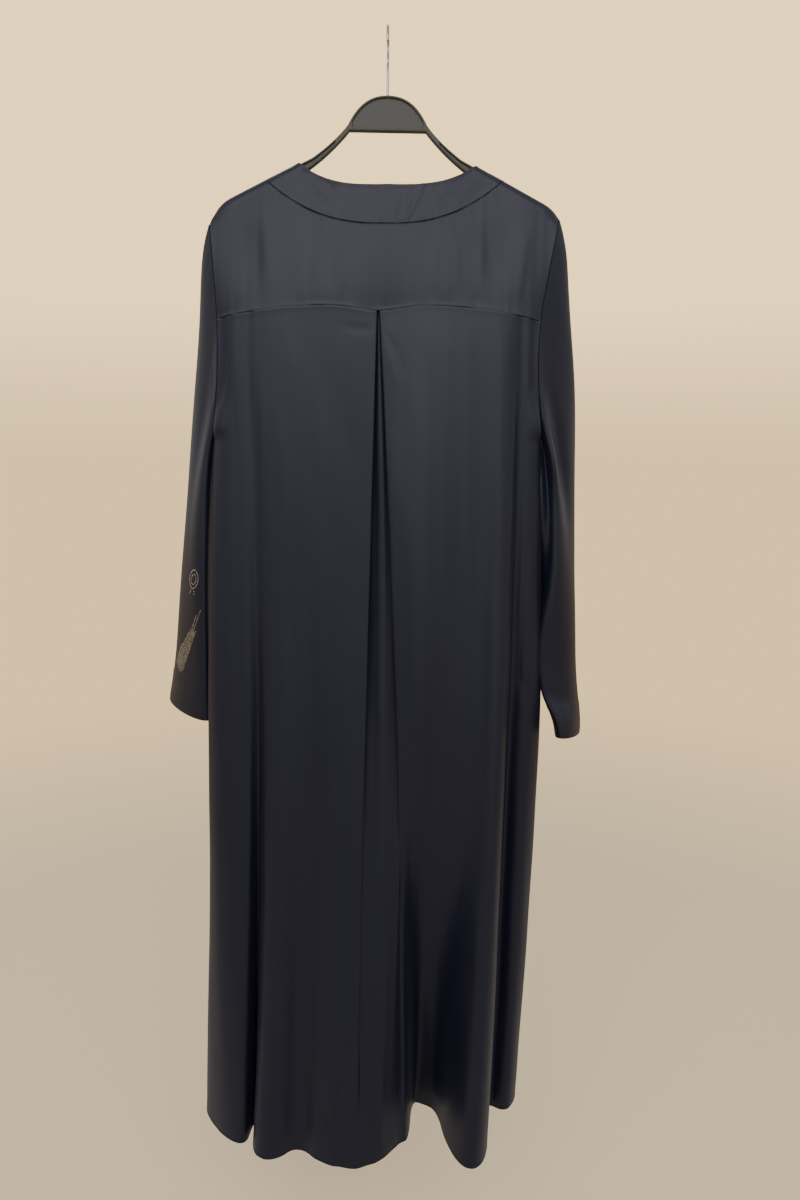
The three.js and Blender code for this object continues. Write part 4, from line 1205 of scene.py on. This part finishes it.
# where points given by x and z lie on the back of a piece, with the cloth's facing there
def clothLine(tree, path):
    points, facings = [], []
    for x, z in path:
        hit, normal, _, _ = tree.ray_cast(Vector((x / 1000, -1, z / 1000)), Vector((0, 1, 0)))
        if hit is not None:
            points.append(np.array(hit) * 1000)
            facings.append(np.array(normal))
    return np.array(points), np.array(facings)


def leafLines(sleeveTree):
    s = leafSizes
    cos, sin = math.cos(math.radians(s["lean"])), math.sin(math.radians(s["lean"]))
    lines = []
    for ring in (1.0, s["innerRing"]):
        path = []
        for a in np.linspace(0, 2 * math.pi, 33):
            px = s["wide"] / 2 * ring * math.sin(a) * abs(math.sin(a)) ** 0.35
            pz = s["tall"] / 2 * ring * math.cos(a)
            path.append((s["x"] + px * cos + pz * sin, s["z"] + pz * cos - px * sin))
        lines.append(clothLine(sleeveTree, path))
    for k in (-1, 1):  # two short stalks
        high = (s["x"] + k * 3 - 3, s["z"] + s["foot"])
        low = (s["x"] + k * 4 - 4, s["z"] + s["foot"] - 4)
        lines.append(clothLine(sleeveTree, [high, low]))
    return lines


def sheafLines(sleeveTree):
    f = sheafSizes
    lines = []
    for k, (low, high) in enumerate(zip(f["feet"], f["tops"])):
        slide = (k - len(f["feet"]) / 2) * f["spread"]
        path = []
        for t in np.linspace(low, high, 16):
            path.append((lerp(f["footX"], f["topX"], t) + slide, lerp(f["footZ"], f["topZ"], t)))
        lines.append(clothLine(sleeveTree, path))
    return lines


# a row of beads along the sleeve's outer edge
def edgeLine(side):
    outer, normals = gridOf["satinSleeve" + sideName[side]]
    column = np.argmax(outer[..., 0] * side, axis=1)
    rows = np.arange(len(outer))
    line, facing = outer[rows, column], normals[rows, column]
    high, low = edgeBeads[side]
    kept = (line[:, 2] < high) & (line[:, 2] > low)
    return line[kept], facing[kept]


leftSleeveTree = BVHTree.FromObject(sleevePieces[-1], bpy.context.evaluated_depsgraph_get())
beadPieces = {
    "satinSleeveLeft": [
        grainPiece("beadsSheaf", sheafLines(leftSleeveTree), beadTree, beadSizes["sheaf"]),
        grainPiece("beadsLeaf", [*leafLines(leftSleeveTree), edgeLine(-1)], beadTree, beadSizes["leaf"]),
    ],
    "satinSleeveRight": [grainPiece("beadsSleeveRight", [edgeLine(1)], beadTree, beadSizes["leaf"])],
}
print("beads:", sum(len(p.data.polygons) for group in beadPieces.values() for p in group), "faces")

# each sheet's node, its flat width and length, its area when cut, and what it hangs from
cuts = {
    "satinBackBody": ("back_body", (0.98, 1.21), 0.93, ["satinBackYoke"]),
    "satinBackYoke": ("back_yoke", (0.46, 0.17), 0.059, ["plasticHanger"]),
    "satinBackNeckband": ("back_neckband", (0.35, 0.1), 0.0138, ["plasticHanger"]),
    "satinFrontLeft": ("front_left", (0.3, 1.38), 0.289, ["plasticHanger"]),
    "satinFrontRight": ("front_right", (0.28, 1.38), 0.259, ["plasticHanger"]),
    "satinFrontBandLeft": ("front_band_left", (0.12, 1.42), 0.0735, ["satinFrontLeft"]),
    "satinFrontBandRight": ("front_band_right", (0.12, 1.42), 0.0735, ["satinFrontRight"]),
    "satinSleeveLeft": ("sleeve_left", (0.3, 0.7), 0.128, ["satinFrontLeft"]),
    "satinSleeveRight": ("sleeve_right", (0.3, 0.72), 0.129, ["satinFrontRight"]),
}
for piece in satinPieces:
    node, flat, area, above = cuts[piece.name]
    faces = np.zeros(len(piece.data.polygons))
    piece.data.polygons.foreach_get("area", faces)
    print(piece.name, "one side measures", round(float(faces.sum()) / 2, 4), "square metres, cut", area)
    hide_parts(node)
    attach(piece, "root")
    going = [stitchPieces[piece.name]] if piece.name in stitchPieces else []
    going += beadPieces.get(piece.name, [])
    for small in going:
        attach(small, "root")
rigid = {"hanger_body": (hangerPiece, "hanger_plastic"), "hanger_hook": (hookPiece, "hook_steel")}
for node, (piece, slotName) in rigid.items():
    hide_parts(node)
    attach(piece, "root")
print("pieces tied to the frame")

# the studio: heights in roomByHeight and wallByHeight are the sines of the angle above the horizon
studio = {
    "floorHeight": -1.78, "floorColour": (0.45, 0.4, 0.32, 1), "floorPatch": (0.41, 0.37, 0.3, 1),
    "floorSeen": (0.95, 0.77, 0.5, 1), "floorNear": 1.2, "floorFar": 3.4,
    "roomWarmth": (1, 0.975, 0.93),
    "roomByHeight": [(-1.0, 0.28), (-0.3, 0.36), (-0.02, 0.47), (0.16, 0.82), (0.4, 0.9), (1.0, 0.6)],
    "wallByHeight": [(-0.02, (1.34, 0.95, 0.46)), (0.04, (1.55, 1.1, 0.54)), (0.14, (2.25, 1.56, 0.72))],
    "over": {"at": (-0.1, -1.8, 0.6), "aim": (0, 0, -0.3), "wide": 2.6, "tall": 0.9, "watts": 20},
    "behind": {"at": (-0.3, 1.7, 1.7), "aim": (0, 0, -0.6), "wide": 1.6, "tall": 1.0, "watts": 14},
    "fill": {"at": (0.8, -2.6, -0.6), "aim": (0, 0, -0.9), "wide": 2.4, "tall": 2.0, "watts": 2.5},
}


def softLight(name, s):
    light = bpy.data.lights.new(name, "AREA")
    light.shape = "RECTANGLE"
    light.size = s["wide"]
    light.size_y = s["tall"]
    light.energy = s["watts"]
    lamp = bpy.data.objects.new(name, light)
    lamp.location = s["at"]
    lamp.rotation_euler = (Vector(s["aim"]) - Vector(s["at"])).to_track_quat("-Z", "Y").to_euler()
    bpy.context.scene.collection.objects.link(lamp)


for name in ("over", "fill", "behind"):
    softLight(name + "Light", studio[name])



# far off, the floor goes over into the wall's lowest colour, so that no line shows where they meet
def floorFinish():
    material, tree, shader = newMaterial("paleFloorFinish")
    where = objectPlace(tree)
    direct = addNode(tree, "ShaderNodeLightPath").outputs["Is Camera Ray"]
    patched = mixOf(tree, noiseOf(tree, where, 3.0, 2.0), studio["floorColour"], studio["floorPatch"])
    feed(tree, shader, {"Base Color": mixOf(tree, direct, patched, studio["floorSeen"]), "Roughness": 0.85})
    away = addNode(tree, "ShaderNodeVectorMath", {0: where}, operation="LENGTH").outputs["Value"]
    reach = {"Value": away, "From Min": studio["floorNear"], "From Max": studio["floorFar"]}
    faded = addNode(tree, "ShaderNodeMapRange", reach, interpolation_type="SMOOTHSTEP").outputs["Result"]
    lowest = {"Color": (*studio["wallByHeight"][0][1], 1), "Strength": rangeOf(tree, direct, 0.3, 1.0)}
    glow = addNode(tree, "ShaderNodeEmission", lowest).outputs["Emission"]
    both = addNode(tree, "ShaderNodeMixShader", {"Fac": faded, 1: shader.outputs["BSDF"], 2: glow})
    feed(tree, tree.nodes["Material Output"], {"Surface": both.outputs["Shader"]})
    return material


bpy.ops.mesh.primitive_plane_add(size=40, location=(0, 0, studio["floorHeight"]))
floor = bpy.context.object
floor.name = "paleFloor"
floor.data.materials.append(floorFinish())


# a background whose colour goes by height; the ramp holds half the light
def roomLevels(tree, height, stops, background):
    ramp = addNode(tree, "ShaderNodeValToRGB", {"Fac": height})
    while len(ramp.color_ramp.elements) < len(stops):
        ramp.color_ramp.elements.new(0.5)
    for stop, (rise, colour) in zip(ramp.color_ramp.elements, stops):
        stop.position = (rise + 1) / 2
        stop.color = (*(c / 2 for c in colour), 1)
    feed(tree, background, {"Color": ramp.outputs["Color"], "Strength": 2.0})
    return background.outputs["Background"]


# the room lights the cloth by one ramp of heights, and the camera sees the wall by another
def roomWorld():
    world = bpy.data.worlds.new("paleRoom")
    world.use_nodes = True
    tree = world.node_tree
    heading = addNode(tree, "ShaderNodeTexCoord").outputs["Generated"]
    rise = addNode(tree, "ShaderNodeSeparateXYZ", {"Vector": heading}).outputs["Z"]
    fromFoot = {"Value": rise, "From Min": -1.0, "From Max": 1.0}
    height = addNode(tree, "ShaderNodeMapRange", fromFoot).outputs["Result"]
    warm = studio["roomWarmth"]
    stops = [(rise, [bright * c for c in warm]) for rise, bright in studio["roomByHeight"]]
    lit = roomLevels(tree, height, stops, tree.nodes["Background"])
    seen = roomLevels(tree, height, studio["wallByHeight"], addNode(tree, "ShaderNodeBackground"))
    direct = addNode(tree, "ShaderNodeLightPath").outputs["Is Camera Ray"]
    both = addNode(tree, "ShaderNodeMixShader", {"Fac": direct, 1: lit, 2: seen})
    feed(tree, tree.nodes["World Output"], {"Surface": both.outputs["Shader"]})
    return world


bpy.context.scene.world = roomWorld()

# the camera stands behind the robe and looks a little down, in degrees, with a slight roll
view = {"at": (0.0196, -1.25, -0.5095), "down": 10.2, "roll": 0.35, "focal": 902, "tall": 1200}
down, roll = math.radians(view["down"]), math.radians(view["roll"])
forward = Vector((0, math.cos(down), -math.sin(down)))
upward = Vector((0, math.sin(down), math.cos(down)))
sideways = Vector((1, 0, 0))
axisX = sideways * math.cos(roll) + upward * math.sin(roll)
axisY = upward * math.cos(roll) - sideways * math.sin(roll)
place = Matrix((axisX, axisY, -forward)).transposed().to_4x4()
place.translation = view["at"]
lens = bpy.data.cameras.new("viewCamera")
lens.sensor_width = 36
lens.lens = 36 * view["focal"] / view["tall"]
lens.sensor_fit = "AUTO"
camera = bpy.data.objects.new("viewCamera", lens)
camera.matrix_world = place
bpy.context.scene.collection.objects.link(camera)
bpy.context.scene.camera = camera
print("studio set")
